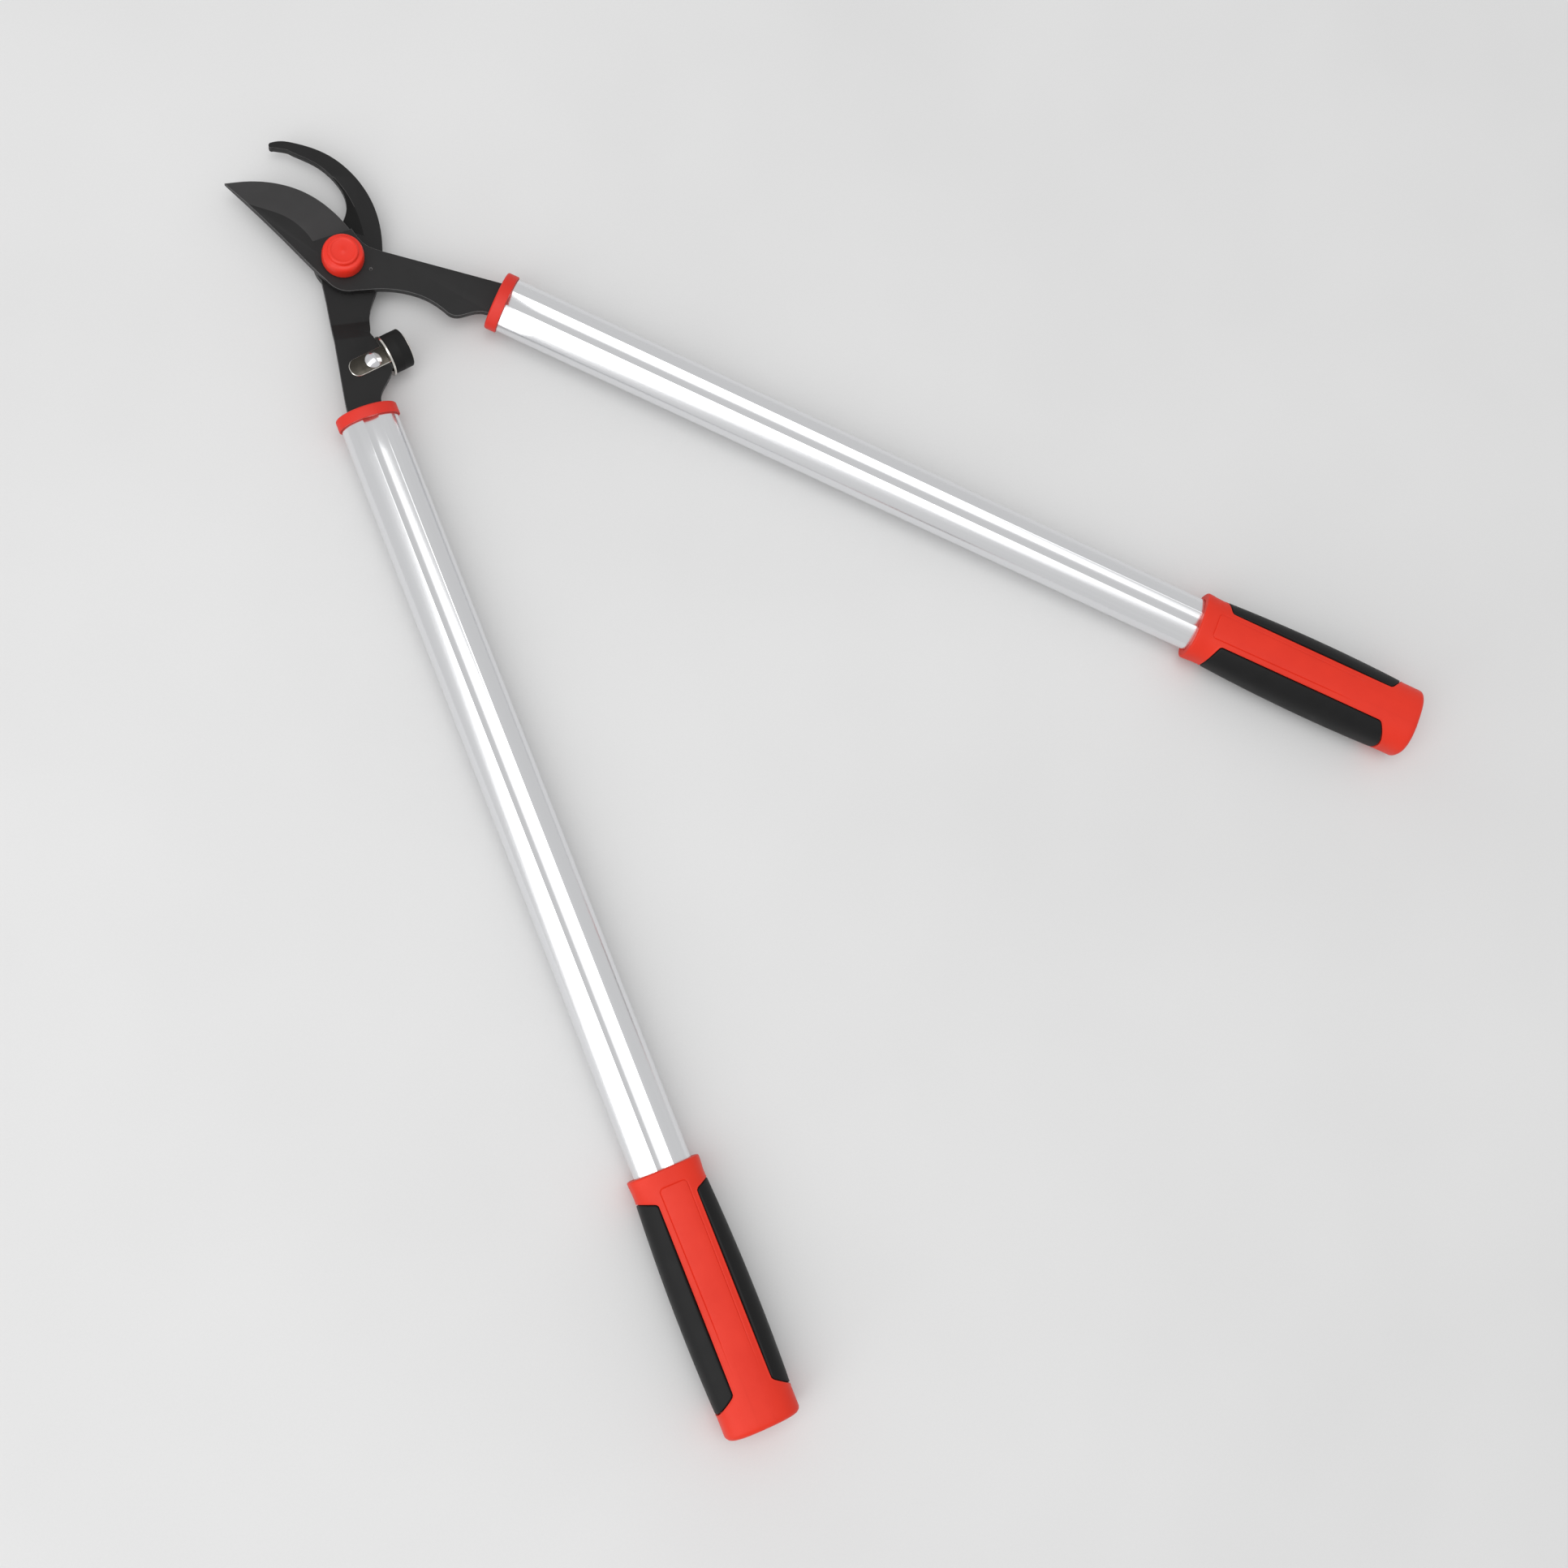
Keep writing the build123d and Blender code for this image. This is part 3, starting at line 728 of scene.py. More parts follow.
@dataclass(frozen=True)
class Grip:
    """Two-part grip: a hard shell with a panel line, and two soft side pads."""

    arm: Arm
    tube: Tube
    wall: float = 3.4
    swell: float = 2.4
    height_front: float = 28.4
    height_back: float = 31.4
    full_before_end: float = 19.8
    flare: float = 0.6
    flare_long: float = 10.0
    lip: float = 1.0
    end_round: float = 3.0
    power: float = 2.5
    pad_in: float = 11.1
    pad_front: float = 12.1
    pad_back: float = 14.9
    pad_slant: float = 4.0
    pad_back_slant: float = 7.0
    pad_deep: float = 2.2
    pad_proud: float = 1.5
    pad_sunk: float = 0.3
    pad_corner: float = 1.4
    pad_edge: float = 0.8
    groove: float = 0.4
    panel_front: float = 8.7
    panel_end: float = 25.8
    panel_wide: float = 15.8
    panel_narrow: float = 14.4
    panel_corner: float = 2.3
    line_wide: float = 0.5
    line_deep: float = 0.35
    prism: float = 30.0
    start: float = 0.0
    end: float = 0.0

    # -- outlines, all in distances behind the tube's front end
    def half_sizes(self, s: np.ndarray) -> tuple[np.ndarray, np.ndarray]:
        """Half width and half height of the shell.

        Args:
            s: Distances behind the tube's front end.

        Returns:
            Half widths and half heights.
        """
        full = self.end - self.full_before_end
        t = np.clip((s - self.start) / (full - self.start), 0, 1)
        wide = self.tube.width / 2 + self.wall + self.swell / 2 * t
        tall = (self.height_front + (self.height_back - self.height_front) * t) / 2
        out = self.flare * (1 - smooth_step(s, self.start, self.start + self.flare_long))
        return wide + out, tall + out

    def oval(self, turn: np.ndarray, wide: np.ndarray,
             tall: np.ndarray) -> tuple[np.ndarray, np.ndarray]:
        """A quarter of the squared oval, from its side to its top.

        Args:
            turn: Angles from the side.
            wide: Half width.
            tall: Half height.

        Returns:
            Places across and heights.
        """
        c = np.clip(np.cos(turn), 0, 1) ** (2 / self.power)
        s = np.clip(np.sin(turn), 0, 1) ** (2 / self.power)
        return wide * c, tall * s

    def pad_ends(self, x: np.ndarray) -> tuple[np.ndarray, np.ndarray]:
        """Where a pad starts and ends at a place across the grip."""
        t = (np.maximum(x, self.pad_in) - self.pad_in) / (self.prism - self.pad_in)
        front = self.start + self.pad_front + self.pad_slant * (1 - 1.9 * t)
        back = self.end - self.pad_back - self.pad_back_slant * (1 - 2 * t)
        return front, back

    def inside_pad(self, x: np.ndarray, s: np.ndarray) -> np.ndarray:
        """Distance inside a pad's outline, less than 0 outside it."""
        front, back = self.pad_ends(x)
        ends = np.minimum(s - front, back - s)
        return both(x - self.pad_in, ends, self.pad_corner)

    def panel_half(self, s: np.ndarray) -> np.ndarray:
        """Half width of the scribed panel."""
        front = self.start + self.panel_front
        back = self.end - self.panel_end
        t = np.clip((s - front) / (back - front), 0, 1)
        return (self.panel_wide + (self.panel_narrow - self.panel_wide) * t) / 2

    def relief(self, x: np.ndarray, s: np.ndarray) -> np.ndarray:
        """How far the shell's surface stands out, with its pockets and its line.

        Args:
            x: Places across, all positive.
            s: Distances behind the tube's front end.

        Returns:
            The growth of the section at each point.
        """
        pad = self.inside_pad(x, s) + self.groove
        out = -self.pad_deep * smooth_step(pad, -0.04, 0.26)
        out = out + 0.16 * np.exp(-(((pad + 0.45) / 0.32) ** 2))
        line = both(self.panel_half(s) - self.line_wide / 2 - x,
                    s - self.start - self.panel_front - self.line_wide / 2,
                    self.panel_corner)
        back = self.end - self.panel_end
        fade = 1 - smooth_step(s, back - 40.0, back)
        cut = np.exp(-((line / (0.42 * self.line_wide)) ** 2))
        return out - self.line_deep * fade * cut

    def lines_across(self, s: float, wide: float) -> np.ndarray:
        """Angles of the shell's lengthwise lines, from the side to the top.

        Args:
            s: Distance behind the tube's front end.
            wide: Half width there.

        Returns:
            Angles from 0 to a right angle.
        """
        panel = float(self.panel_half(np.array(s)))
        wall = self.pad_in - self.groove
        x = np.concatenate([
            [0, 1.2, 2.4, 3.6, 4.4],
            panel + np.array([-2.9, -2.6, -2.3, -2.0, -1.7, -1.45, -1.2, -1.0, -0.8, -0.62,
                              -0.5, -0.38, -0.25, -0.12, 0.0, 0.12, 0.26, 0.5, 0.8]),
            wall + np.array([-1.3, -1.0, -0.75, -0.55, -0.4, -0.25, -0.12, -0.04, 0.04, 0.11,
                             0.18, 0.26, 0.5, 1.2]),
        ])
        turn = np.arccos(np.clip(x / wide, 0, 1) ** (self.power / 2))
        rest = np.linspace(0, turn[-1], 12)[:-1]
        return np.concatenate([rest, turn[::-1]])

    def lines_back(self) -> tuple[np.ndarray, np.ndarray, np.ndarray]:
        """Distances of the shell's rings, and how far each follows the pad ends.

        Returns:
            Distances, shares of the front slant, and shares of the back slant.
        """
        front = float(self.pad_ends(np.array(0.0))[0]) - self.groove
        back = float(self.pad_ends(np.array(0.0))[1]) + self.groove
        near = np.array([-1.2, -0.8, -0.5, -0.3, -0.15, -0.05, 0.03, 0.1, 0.17, 0.24, 0.5, 1.0])
        panel = self.start + self.panel_front
        fine = np.array([-0.3, -0.05, 0.08, 0.17, 0.25, 0.33, 0.42, 0.55, 0.75, 1.0, 1.25, 1.5,
                         1.75, 2.0, 2.25, 2.5, 2.75, 3.1])
        s = np.concatenate([
            self.start + np.array([self.lip, 1.6, 2.6, 4.2, 6.0, 7.4]),
            panel + fine, front + near,
            np.linspace(front + 3.0, back - 4.0, 26),
            back - near[::-1],
            back + np.array([3.0, 5.0, 7.0, 10.0, 13.0, 16.0]),
            [self.end - self.end_round],
        ])
        s = np.unique(np.round(s, 4))
        follow_front = np.interp(s, [front - 8.0, front - 1.3, front + 1.1, front + 14.0],
                                 [0, 1, 1, 0])
        follow_back = np.interp(s, [back - 18.0, back - 1.1, back + 1.3, back + 17.0],
                                [0, 1, 1, 0])
        return s, follow_front, follow_back

    def around(self, x: np.ndarray, s: np.ndarray, z: np.ndarray) -> np.ndarray:
        """A whole ring from the quarter that runs from its side to its top."""
        quarter = np.stack([x, s, z], 1)
        flip_x, flip_z = np.array([-1, 1, 1]), np.array([1, 1, -1])
        half = np.vstack([quarter, quarter[-2::-1] * flip_x])
        return np.vstack([half, half[-2:0:-1] * flip_z])

    def shell_ring(self, s0: float, follow_front: float, follow_back: float,
                   inset: float = 0.0) -> np.ndarray:
        """One ring of the shell's outer surface.

        Args:
            s0: Distance behind the tube's front end.
            follow_front: Share of the pad's front slant that the ring follows.
            follow_back: Share of the pad's back slant that the ring follows.
            inset: How far the whole ring is drawn in.

        Returns:
            The ring's points.
        """
        wide, tall = (float(v) for v in self.half_sizes(np.array(s0)))
        turn = self.lines_across(s0, wide)
        x, _ = self.oval(turn, wide, tall)
        front, back = self.pad_ends(x)
        flat_front, flat_back = self.pad_ends(np.zeros_like(x))
        s = s0 + follow_front * (front - flat_front) + follow_back * (back - flat_back)
        wides, talls = self.half_sizes(s)
        x, _ = self.oval(turn, wides, talls)
        grow = self.relief(x, s) - inset
        x, z = self.oval(turn, wides + grow, talls + grow)
        return self.around(x, s, z)

    def bore_ring(self, s0: float, clear: float, share: float = 1.0) -> np.ndarray:
        """One ring of the bore, which follows the tube's section.

        Args:
            s0: Distance behind the tube's front end.
            clear: Room between the tube and the bore.
            share: Size against the bore's, for closing its floor.

        Returns:
            The ring's points.
        """
        wide, tall = (float(v) for v in self.half_sizes(np.array(s0)))
        x, _ = self.oval(self.lines_across(s0, wide), wide, tall)
        x = x / wide * (self.tube.width / 2 + clear)
        z = self.tube.level(x, clear)
        z[0] = 0.0
        return self.around(x * share, np.full_like(x, s0), z * share)

    def build_shell(self, place: LocalFrame) -> None:
        """Makes the hard shell and lets it stand for its CAD node."""
        node = f"grip_shell_{self.arm.value}"
        distances, front, back = self.lines_back()
        turns = np.linspace(0, math.pi / 2, 7)
        lip = [self.shell_ring(self.start + self.lip * (1 - math.sin(t)), 0, 0,
                               self.lip * (1 - math.cos(t))) for t in turns[:0:-1]]
        side = [self.shell_ring(s, f, b) for s, f, b in zip(distances, front, back)]
        tail = [self.shell_ring(self.end - self.end_round * (1 - math.sin(t)), 0, 0,
                                self.end_round * (1 - math.cos(t))) for t in turns[1:]]
        face = [self.shell_ring(self.end, 0, 0, self.end_round + d) for d in (1.2, 2.4)]
        dish = []
        for inset, deep in ((2.8, 0.12), (3.1, 0.45), (3.6, 0.6), (7.0, 0.6), (11.0, 0.6)):
            ring = self.shell_ring(self.end, 0, 0, self.end_round + inset)
            ring[:, 1] = self.end - deep
            dish.append(ring)
        throat = self.bore_ring(self.start, 0.35)
        deep = [self.bore_ring(self.start + d, 0.05) for d in (0.35, 3.0, 60.0)]
        floor = place.from_row(node_points(f"tube_{self.arm.value}"))[:, 1].max() + 0.5
        deep.append(self.bore_ring(floor, 0.05))
        deep.append(self.bore_ring(floor, 0.05, 0.5))
        skin = Skin()
        skin.skin(list(reversed(deep)) + [throat] + lip + side + tail + face + dish)
        piece = skin.object(f"moulded_grip_{self.arm.value}", place.to_row, sharp=48.0)
        finish_piece(piece, self.arm.body, ["red_grip_plastic"], [node])

    def build_pad(self, place: LocalFrame, which: str, way: float) -> None:
        """Makes one soft pad and lets it stand for its CAD node.

        Args:
            place: The handle's frame.
            which: outer or inner, as in the node's name.
            way: The side of the grip, +1 or -1 across.
        """
        node = f"{which}_pad_{self.arm.value}"
        steps = np.array([0, 0.04, 0.1, 0.18, 0.28, 0.4, 0.55, 0.72, 0.95, 1.3, 1.8, 2.6])
        middle = (self.start + self.end + self.pad_front - self.pad_back) / 2
        along = np.concatenate([steps, np.linspace(4.0, 105.0, 36)])
        share = np.concatenate([along / 216.0, 1 - along[-2::-1] / 216.0])
        reach = np.concatenate([steps, [3.6, 4.8]])

        def outline(low: bool) -> list[np.ndarray]:
            """Rows of points over the pad, or under it."""
            rows = []
            for part in share:
                wide, tall = (float(v) for v in self.half_sizes(np.array(middle)))
                turn = np.arccos(((self.pad_in + reach) / wide) ** (self.power / 2))
                turn = np.concatenate([turn, np.linspace(turn[-1], 0, 9)[1:]])
                x, _ = self.oval(turn, wide, tall)
                front, back = self.pad_ends(x)
                s = front + (back - front) * part
                wides, talls = self.half_sizes(s)
                turn = np.where(x < self.pad_in + 5,
                                np.arccos(np.clip(x / wides, 0, 1) ** (self.power / 2)), turn)
                x, _ = self.oval(turn, wides, talls)
                grow = self.pad_height(x, s) if not low else np.full_like(x, -self.pad_deep - 0.02)
                x, z = self.oval(turn, wides + grow, talls + grow)
                top = np.stack([x, s, z], 1)
                rows.append(np.vstack([top, top[-2::-1] * np.array([1, 1, -1])]))
            return rows

        upper, lower = outline(False), outline(True)
        skin = Skin()
        size = len(upper[0])
        tops = [skin.add(row * np.array([way, 1, 1])) for row in upper]
        lows = [skin.add(row * np.array([way, 1, 1])) for row in lower]
        for rows in (tops, lows):
            for a, b in zip(rows, rows[1:]):
                skin.bridge(a, b, size, closed=False)
        for a, b in ((tops[0], lows[0]), (tops[-1], lows[-1])):
            skin.bridge(a, b, size, closed=False)
        for t0, t1, l0, l1 in zip(tops, tops[1:], lows, lows[1:]):
            for end in (0, size - 1):
                skin.faces.append((t0 + end, t1 + end, l1 + end, l0 + end))
        piece = skin.object(f"soft_{node}", place.to_row, sharp=60.0)
        finish_piece(piece, self.arm.body, ["grip_pad_rubber"], [node])

    def pad_height(self, x: np.ndarray, s: np.ndarray) -> np.ndarray:
        """How far a pad stands out of the shell's surface, with its edges rounded."""
        front = self.start + self.pad_front - 8.0
        middle = self.start + (self.pad_front + self.end - self.start - self.pad_back) / 2
        t = (s - middle) / (middle - front)
        crown = self.pad_proud - (self.pad_proud + self.pad_sunk) * np.clip(t * t, 0, 1)
        inside = np.maximum(self.inside_pad(x, s), 0)
        t = np.clip(1 - inside / self.pad_edge, 0, 1)
        drop = self.pad_edge * (1 - np.sqrt(np.maximum(0, 1 - t * t)))
        outside = self.inside_pad(x, s) < -0.02
        return np.where(outside, -self.pad_deep, crown - drop)

    def build(self, place: LocalFrame) -> None:
        """Makes the shell and both pads."""
        self.build_shell(place)
        outer = -1.0 if self.arm is Arm.LEFT else 1.0
        self.build_pad(place, "outer", outer)
        self.build_pad(place, "inner", -outer)


@dataclass(frozen=True)
class Handle:
    """One handle: its tube and its grip."""

    arm: Arm

    def build(self) -> None:
        """Reads the handle's frame and makes its pieces."""
        place = arm_frame(self.arm)
        shell = place.from_row(node_points(f"grip_shell_{self.arm.value}"))
        tube = Tube(self.arm)
        tube.build(place)
        start, end = float(shell[:, 1].min()), float(shell[:, 1].max())
        Grip(self.arm, tube, start=start, end=end).build(place)


# ------------------------------------------------------------------ edges
@dataclass(frozen=True)
class BrokenEdges:
    """A CAD piece with its sharp edges broken, as a press or a tumbler leaves it."""

    node: str
    body: Body
    slot: str
    paints: tuple[str, ...]
    radius: float = 0.25
    rounds: int = 2
    edge_paint: Optional[int] = None
    choose: Optional[Callable[[bmesh.types.BMFace], int]] = None
    flat_below: float = 3e-4
    break_above: float = 28.0
    smooth_below: float = 24.0

    def build(self) -> bpy.types.Object:
        """Copies the node's mesh, breaks its edges and dresses it.

        Returns:
            The new object.
        """
        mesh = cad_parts[self.node].data.copy()
        mesh.name = f"dressed_{self.node}"
        work = bmesh.new()
        work.from_mesh(mesh)
        bmesh.ops.remove_doubles(work, verts=work.verts, dist=0.001 * MM)
        flat = [e for e in work.edges if len(e.link_faces) == 2
                and e.calc_face_angle(1.0) < self.flat_below]
        bmesh.ops.dissolve_edges(work, edges=flat, use_verts=False)
        bmesh.ops.recalc_face_normals(work, faces=work.faces)
        for face in work.faces:
            face.material_index = self.choose(face) if self.choose else 0
        sharp = [e for e in work.edges if len(e.link_faces) == 2
                 and e.calc_face_angle(0.0) > math.radians(self.break_above)]
        made = bmesh.ops.bevel(work, geom=sharp, offset=self.radius * MM, offset_type="OFFSET",
                               segments=self.rounds, profile=0.6, affect="EDGES",
                               clamp_overlap=True, material=-1)
        # The bevel faces can take their own finish. On the blades it is the lighter paint for worn
        # coating and a painted highlight.
        if self.edge_paint is not None:
            for face in made["faces"]:
                face.material_index = self.edge_paint
        work.to_mesh(mesh)
        work.free()
        mesh.shade_smooth()
        mesh.set_sharp_from_angle(angle=math.radians(self.smooth_below))
        piece = bpy.data.objects.new(mesh.name, mesh)
        bpy.context.scene.collection.objects.link(piece)
        return finish_piece(piece, self.body, self.paints, [self.node])


class Places:
    """Heights that the face choosers compare with, read once from the frame."""

    blade_under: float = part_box("cutting_blade")[0].z
    bracket_level: float = centre("bumper_bracket").z


def painted_shade_band_face(face: bmesh.types.BMFace) -> int:
    """1 on the tilted, low band of the hook, which takes a darker painted shade, else 0."""
    tilted = 0.2 < face.normal.z < 0.995
    middle = face.calc_center_median()
    return 1 if tilted and middle.y > 0 and middle.z < Places.blade_under else 0


def blade_face(face: bmesh.types.BMFace) -> int:
    """1 on the blade's ground face, which is tilted, else 0."""
    return 1 if 0.5 < face.normal.z < 0.9995 and face.calc_center_median().y > 0 else 0


def dark_reflection_tongue_face(face: bmesh.types.BMFace) -> int:
    """1 on the flat outer faces of the bracket's tongues, which take a painted dark reflection,
    else 0.
    """
    off_middle = abs(face.calc_center_median().z - Places.bracket_level)
    reach = (Bumper.plate / 2 + Bumper.tongue - 0.05) * MM
    on_tongue = abs(face.normal.z) > 0.99 and off_middle > reach
    return 1 if on_tongue and off_middle < reach + 1.0 * MM else 0


# ------------------------------------------------------------------ turned pieces
def lathe(name: str, profile: Sequence[tuple[float, float]], place: LocalFrame,
          segments: int = 96, sharp: float = 35.0, loop: bool = False) -> bpy.types.Object:
    """A turned piece about its frame's back axis.

    Args:
        name: The object's name.
        profile: (distance along the axis, radius) pairs, in millimetres.
        place: The frame, whose back axis is the turning axis.
        segments: Facets round the piece.
        sharp: Edges that turn more than this many degrees stay sharp.
        loop: Whether the profile closes on itself, as round a bore.

    Returns:
        The linked object.
    """
    turns = np.linspace(0, 2 * math.pi, segments, endpoint=False)
    rings = []
    for along, radius in profile:
        rings.append(np.stack([radius * np.cos(turns), np.full_like(turns, along),
                               radius * np.sin(turns)], 1))
    skin = Skin()
    skin.skin(rings, loop)
    return skin.object(name, place.to_row, sharp)


def arc(centre_at: tuple[float, float], radius: float, start: float, end: float,
        steps: int = 5) -> list[tuple[float, float]]:
    """Points of an arc in a profile, by angles in degrees."""
    turns = np.radians(np.linspace(start, end, steps))
    return [(centre_at[0] + radius * math.cos(t), centre_at[1] + radius * math.sin(t))
            for t in turns]


@dataclass(frozen=True)
class PivotCap:
    """Moulded cap over the pivot nut, with a ring and a dished button."""

    base: float = 23.0
    shoulder: float = 18.8
    top: float = 16.6
    skirt: float = 8.4
    height: float = 10.8
    dish: float = 0.3

    def build(self) -> None:
        """Makes the cap on the hook's body."""
        low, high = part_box("pivot_cap")
        middle = centre("pivot_cap")
        place = LocalFrame(Vector((middle.x, middle.y, low.z)), Vector((1, 0, 0)),
                           Vector((0, 0, 1)), Vector((0, 1, 0)))
        base, neck, top = self.base / 2, self.shoulder / 2, self.top / 2
        rise, tall = self.skirt, self.height
        profile = [(0.0, base - 2.6), (0.0, base - 0.6)]
        profile += arc((0.5, base - 0.5), 0.5, 180, 90)[1:]
        profile += [(2.2, base)]
        swell = rise - 2.2
        for t in np.linspace(0.08, 1.0, 11):
            profile.append((2.2 + swell * math.sin(t * math.pi / 2) ** 0.95,
                            neck + 0.1 + (base - neck - 0.1) * (1 - t ** 2.3)))
        profile += [(rise + 0.10, neck - 0.35), (rise + 0.16, neck - 0.7)]
        profile += [(rise + 0.30, top + 0.22), (rise + 0.55, top + 0.05), (tall - 1.0, top)]
        profile += arc((tall - 1.0, top - 1.0), 1.0, 90, 0, 7)[1:]
        floor = tall - self.dish
        profile += [(tall, top - 1.5), (tall - 0.05, top - 1.75), (floor + 0.04, top - 2.0),
                    (floor, top - 2.25), (floor, 3.0), (floor, 0.95), (floor + 0.06, 0.75),
                    (floor + 0.06, 0.02)]
        inside = [(0.0, base - 2.6), (rise - 1.5, base - 3.0), (rise - 1.0, 0.02)]
        piece = lathe("moulded_cap", list(reversed(inside)) + profile[1:], place, 128)
        finish_piece(piece, Body.HOOK, ["red_cap_plastic"], ["pivot_cap"])


@dataclass(frozen=True)
class Bumper:
    """Stop block: bracket, rivet, rubber, strike disc and stud."""

    rubber_width: float = 21.6
    rubber_long: float = 11.2
    strike_width: float = 17.0
    strike_deep: float = 1.6
    strike_proud: float = 1.0
    stud_bore: float = 2.45
    head: float = 8.4
    rivet_head: float = 9.0
    rivet_rise: float = 2.0
    tongue: float = 1.2
    plate: float = 5.0

    def place(self) -> LocalFrame:
        """The bumper's frame, its back axis pointing at the other arm."""
        start, end = centre("bumper_rivet"), centre("bumper_rubber")
        ahead = (end - start).normalized()
        up = Vector((0, 0, 1))
        origin = end - ahead * (self.rubber_long / 2 * MM)
        return LocalFrame(origin, up.cross(ahead), ahead, up)

    def build(self) -> None:
        """Makes the bumper's pieces on the hook's body."""
        place = self.place()
        self.build_rubber(place)
        self.build_disc(place)
        self.build_rivet()
        # The tongues' flat faces take a painted dark reflection, and the broken edges keep the
        # bright plating.
        BrokenEdges("bumper_bracket", Body.HOOK, "plated_bracket",
                    ("plated_bracket", "painted_dark_reflection_face"), 0.16, 2, 0, dark_reflection_tongue_face).build()

    def build_rubber(self, place: LocalFrame) -> None:
        """The block, with a soft edge, a mould seam and a seat for the disc."""
        r, long = self.rubber_width / 2, self.rubber_long
        seat = long - self.strike_deep + self.strike_proud
        hole, bore = self.strike_width / 2 + 0.05, self.stud_bore
        profile = [(0.0, bore), (0.0, r - 0.8)]
        profile += arc((0.8, r - 0.8), 0.8, 180, 90)[1:]
        profile += [(long / 2 - 0.25, r), (long / 2 - 0.08, r + 0.07), (long / 2 + 0.08, r + 0.07),
                    (long / 2 + 0.25, r)]
        profile += arc((long - 0.9, r - 0.9), 0.9, 90, 0, 6)
        profile += [(long, hole + 0.15), (long - 0.12, hole), (seat, hole), (seat, bore)]
        piece = lathe("rubber_block", profile, place, sharp=38.0, loop=True)
        finish_piece(piece, Body.HOOK, ["bumper_rubber"], ["bumper_rubber"])

    def build_disc(self, place: LocalFrame) -> None:
        """The disc, turned with a rounded rim and a recess round the stud."""
        back = self.rubber_long - self.strike_deep + self.strike_proud
        face, r = back + self.strike_deep, self.strike_width / 2
        well, bore = self.head / 2 + 0.4, self.stud_bore
        profile = [(back, bore), (back, r - 0.2), (back + 0.2, r), (face - 0.5, r)]
        profile += arc((face - 0.5, r - 0.5), 0.5, 90, 0)[1:]
        profile += [(face, r - 1.6), (face - 0.06, r - 1.75), (face - 0.06, r - 2.1),
                    (face, r - 2.25),
                    (face, well + 0.2), (face - 0.15, well), (face - 0.9, well), (face - 0.9, bore)]
        piece = lathe("strike_disc", profile, place, sharp=30.0, loop=True)
        finish_piece(piece, Body.HOOK, ["plated_bracket"], ["bumper_disc"])

    def build_rivet(self) -> None:
        """The rivet with two domed heads, each with a narrow foot."""
        middle = centre("bumper_rivet")
        place = LocalFrame(middle, Vector((1, 0, 0)), Vector((0, 0, 1)), Vector((0, 1, 0)))
        seat = self.plate / 2 + self.tongue
        ball = (self.rivet_head ** 2 / 4 + self.rivet_rise ** 2) / (2 * self.rivet_rise)
        spread = math.degrees(math.asin(self.rivet_head / 2 / ball))
        dome = arc((seat + self.rivet_rise - ball, 0.0), ball, spread, 0.4, 12)
        half = [(seat - 0.6, 2.05), (seat, 2.3), (seat, self.rivet_head / 2 - 0.1)] + dome
        profile = [(-a, b) for a, b in reversed(half)] + half
        piece = lathe("domed_rivet", profile, place, 72, 40.0)
        finish_piece(piece, Body.HOOK, ["bright_rivet"], ["bumper_rivet"])


# ------------------------------------------------------------------ plain CAD pieces
@dataclass(frozen=True)
class CadPiece:
    """A CAD node whose shape is kept and that only takes a finish."""

    node: str
    paint: str

    def dress(self) -> None:
        """Puts the finish on the node."""
        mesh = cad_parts[self.node].data
        mesh.materials.clear()
        mesh.materials.append(Paint.of(self.paint))
        log.info("%s: %s", self.node, self.paint)


class CuttingHead:
    """The two blades, the pivot and the collars of the tubes."""

    def build(self) -> None:
        """Makes and dresses the head's pieces."""
        # On the hook, the tilted band is painted darker as shade.
        BrokenEdges("counter_blade", Body.HOOK, "coated_hook_steel",
                    ("coated_hook_steel", "painted_shade_hook_band", "worn_edge_and_highlight"), 0.42, 2, 2,
                    painted_shade_band_face).build()
        # On both blades the broken edges are painted lighter, for worn coating and a painted
        # highlight.
        BrokenEdges("cutting_blade", Body.BLADE, "coated_blade_steel",
                    ("coated_blade_steel", "ground_face", "worn_edge_and_highlight"), 0.42, 2, 2,
                    blade_face).build()
        PivotCap().build()
        Bumper().build()
        for arm in Arm:
            BrokenEdges(f"ferrule_{arm.value}", arm.body, "red_ferrule_plastic",
                        ("red_ferrule_plastic",), 0.3, 3).build()
        for node, radius in (("pivot_bolt", 0.2), ("pivot_washer", 0.2)):
            BrokenEdges(node, Body.HOOK, "zinc_fastener", ("zinc_fastener",), radius).build()
        for node, paint in (("bumper_stud", "zinc_fastener"), ("pivot_nut", "zinc_fastener"),
                            ("top_washer", "zinc_fastener"), ("lock_ring", "zinc_fastener"),
                            ("pivot_bush", "bush_bronze")):
            CadPiece(node, paint).dress()
        for arm in Arm:
            CadPiece(f"tang_insert_{arm.value}", "core_nylon").dress()
            CadPiece(f"tang_pins_{arm.value}", "zinc_fastener").dress()


# ------------------------------------------------------------------ studio
@dataclass(frozen=True)
class SoftLight:
    """A rectangular soft light that hangs over the tool."""

    name: str
    place: tuple[float, float, float]
    aim: tuple[float, float, float]
    size: tuple[float, float]
    power: float

    def hang(self) -> None:
        """Makes the light and turns it to its aim."""
        data = bpy.data.lights.new(self.name, "AREA")
        data.shape = "RECTANGLE"
        data.size, data.size_y = self.size
        data.energy = self.power
        light = bpy.data.objects.new(self.name, data)
        light.location = self.place
        way = Vector(self.aim) - Vector(self.place)
        light.rotation_euler = way.to_track_quat("-Z", "Y").to_euler()
        bpy.context.scene.collection.objects.link(light)


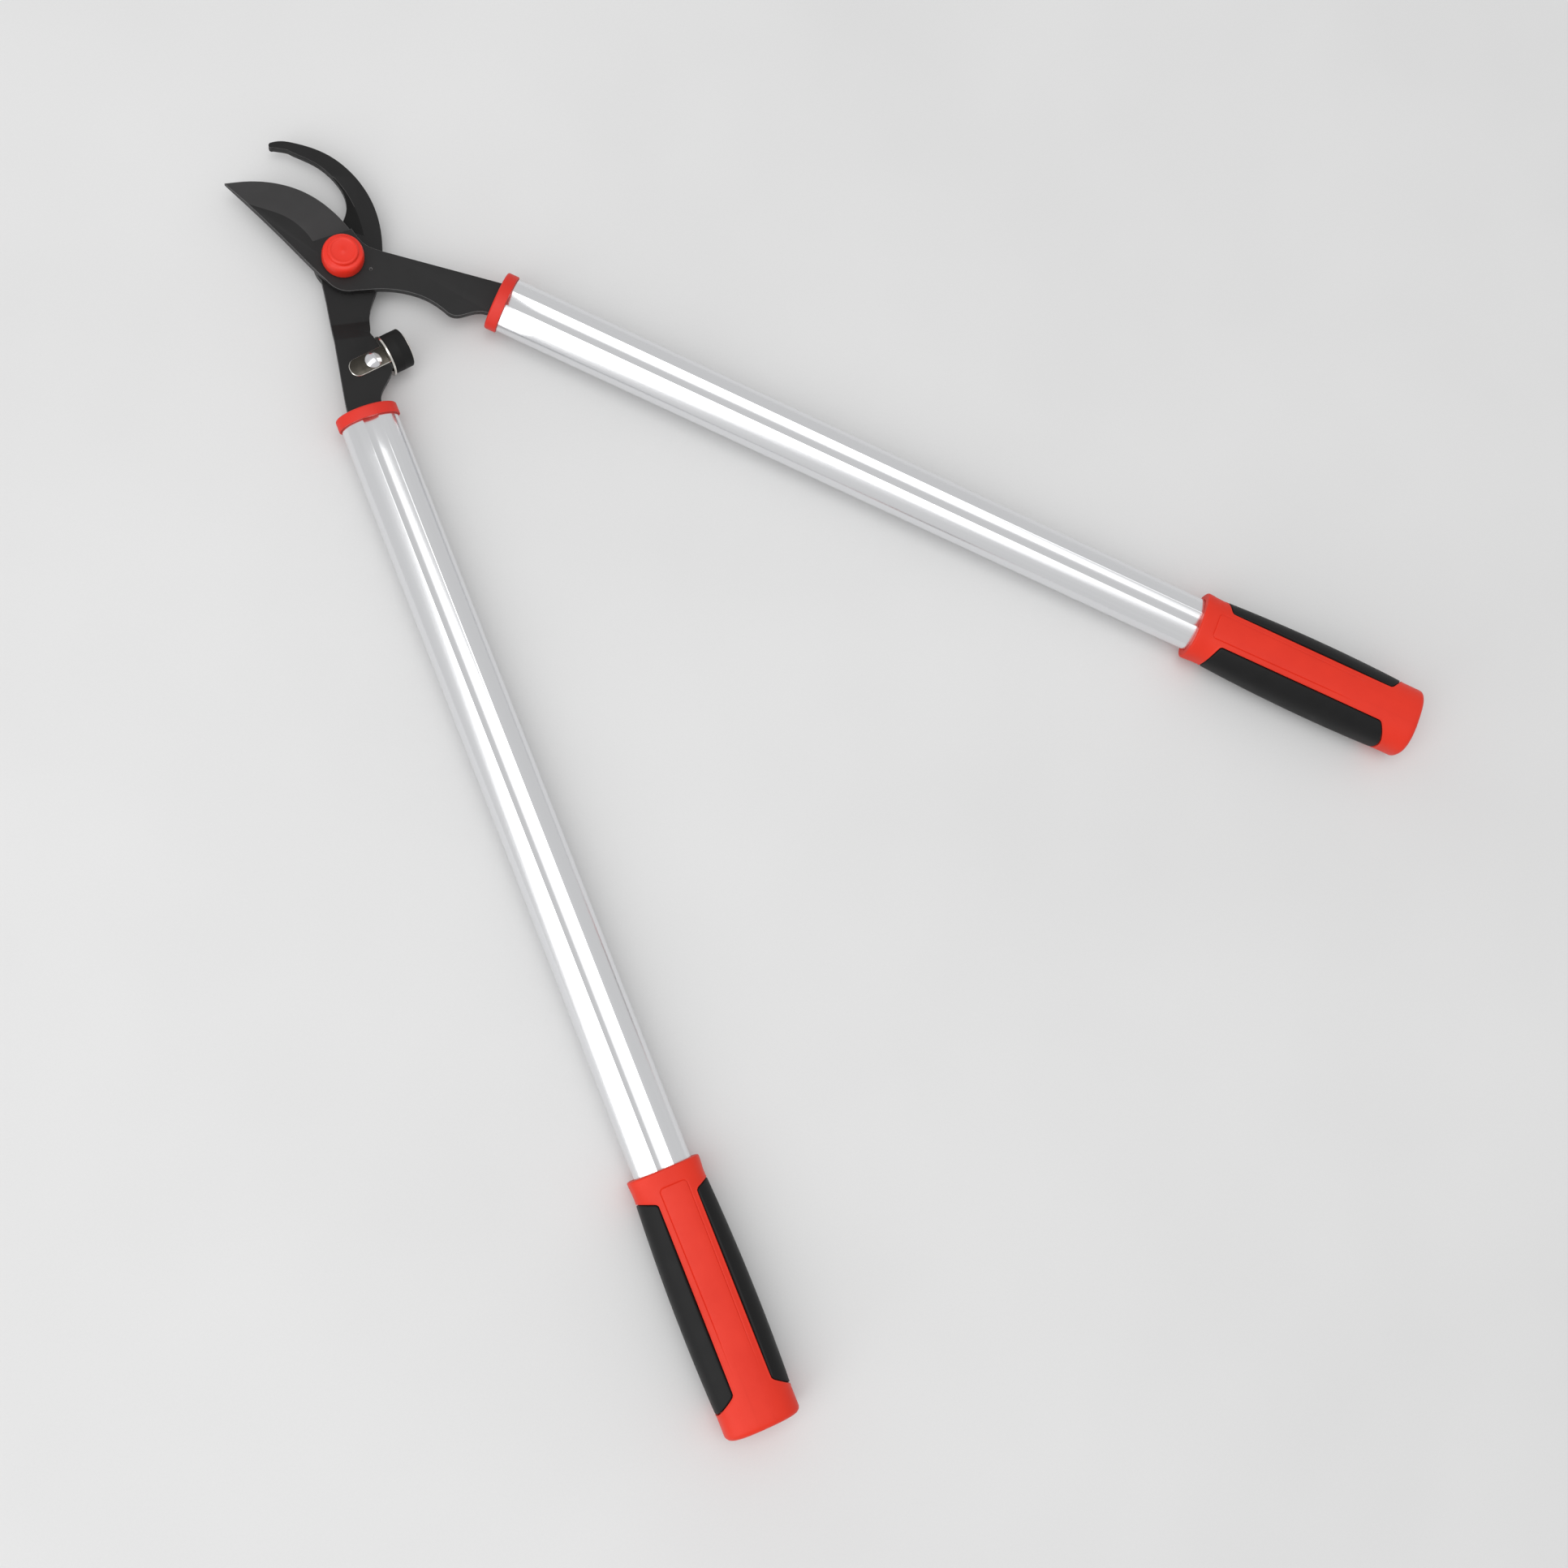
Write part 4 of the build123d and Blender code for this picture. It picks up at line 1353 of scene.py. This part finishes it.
@dataclass(frozen=True)
class Studio:
    """Pale floor, soft lights and the camera."""

    camera_at: tuple[float, float, float] = (-0.34437, -0.36594, 1.14577)
    aim: tuple[float, float, float] = (-0.02225, -0.37390, 0.0)
    head_up: tuple[float, float, float] = (0.67025, 0.71911, 0.18344)
    lens: float = 49.467
    sensor: float = 36.0
    floor_tone: tuple[float, float, float] = (0.70, 0.70, 0.70)
    sky: float = 0.66
    lights: tuple[SoftLight, ...] = (
        SoftLight("key_window", (-1.75, 0.0, 2.05), (0.0, 0.0, 0.0), (1.6, 7.0), 67.0),
        SoftLight("top_scrim", (0.1, -0.3, 2.9), (0.0, -0.3, 0.0), (2.2, 2.2), 10.0),
    )

    def build(self) -> None:
        """Makes floor, world, lights and camera."""
        self.lay_floor()
        world = bpy.data.worlds.new("studio")
        world.use_nodes = True
        back = world.node_tree.nodes["Background"]
        back.inputs["Color"].default_value = (1.0, 1.0, 1.0, 1.0)
        back.inputs["Strength"].default_value = self.sky
        bpy.context.scene.world = world
        for light in self.lights:
            light.hang()
        self.set_camera()
        bpy.context.scene.view_settings.view_transform = "Standard"

    def lay_floor(self) -> None:
        """A wide pale floor just under the resting plane."""
        mesh = bpy.data.meshes.new("floor")
        half = 6.0
        corners = [(-half, -half, 0), (half, -half, 0), (half, half, 0), (-half, half, 0)]
        mesh.from_pydata(corners, [], [(0, 1, 2, 3)])
        floor = bpy.data.objects.new("floor", mesh)
        floor.location.z = cad_box[0][2] - 0.0002
        bpy.context.scene.collection.objects.link(floor)
        w = Wiring("pale_floor")
        grain = w.noise(900.0, 3.0)
        cloud = w.noise(4.0, 3.0)
        darker = tuple(0.93 * part for part in self.floor_tone)
        patches = w.span(w.sum(cloud, grain, 0.35), 0.4, 1.0, 0.0, 1.0)
        tone = w.blend(patches, self.floor_tone, darker)
        w.set(Base_Color=tone, Roughness=0.85, Specular_IOR_Level=0.1,
              Normal=w.bump(grain, 0.1, 0.3))
        mesh.materials.append(w.material)

    def set_camera(self) -> None:
        """The camera over the handles, looking down at the head's side."""
        data = bpy.data.cameras.new("camera")
        data.lens = self.lens
        data.sensor_width = self.sensor
        data.clip_start = 0.01
        camera = bpy.data.objects.new("camera", data)
        bpy.context.scene.collection.objects.link(camera)
        back = (Vector(self.camera_at) - Vector(self.aim)).normalized()
        right = Vector(self.head_up).cross(back).normalized()
        up = back.cross(right)
        turn = Matrix((right, up, back)).transposed().to_4x4()
        camera.matrix_world = Matrix.Translation(self.camera_at) @ turn
        bpy.context.scene.camera = camera


def main() -> None:
    """Builds the sub-assemblies in order, then the studio."""
    logging.basicConfig(level=logging.INFO, format="%(name)s: %(message)s")
    CuttingHead().build()
    for arm in Arm:
        Handle(arm).build()
    Studio().build()


if __name__ == "__main__":
    main()
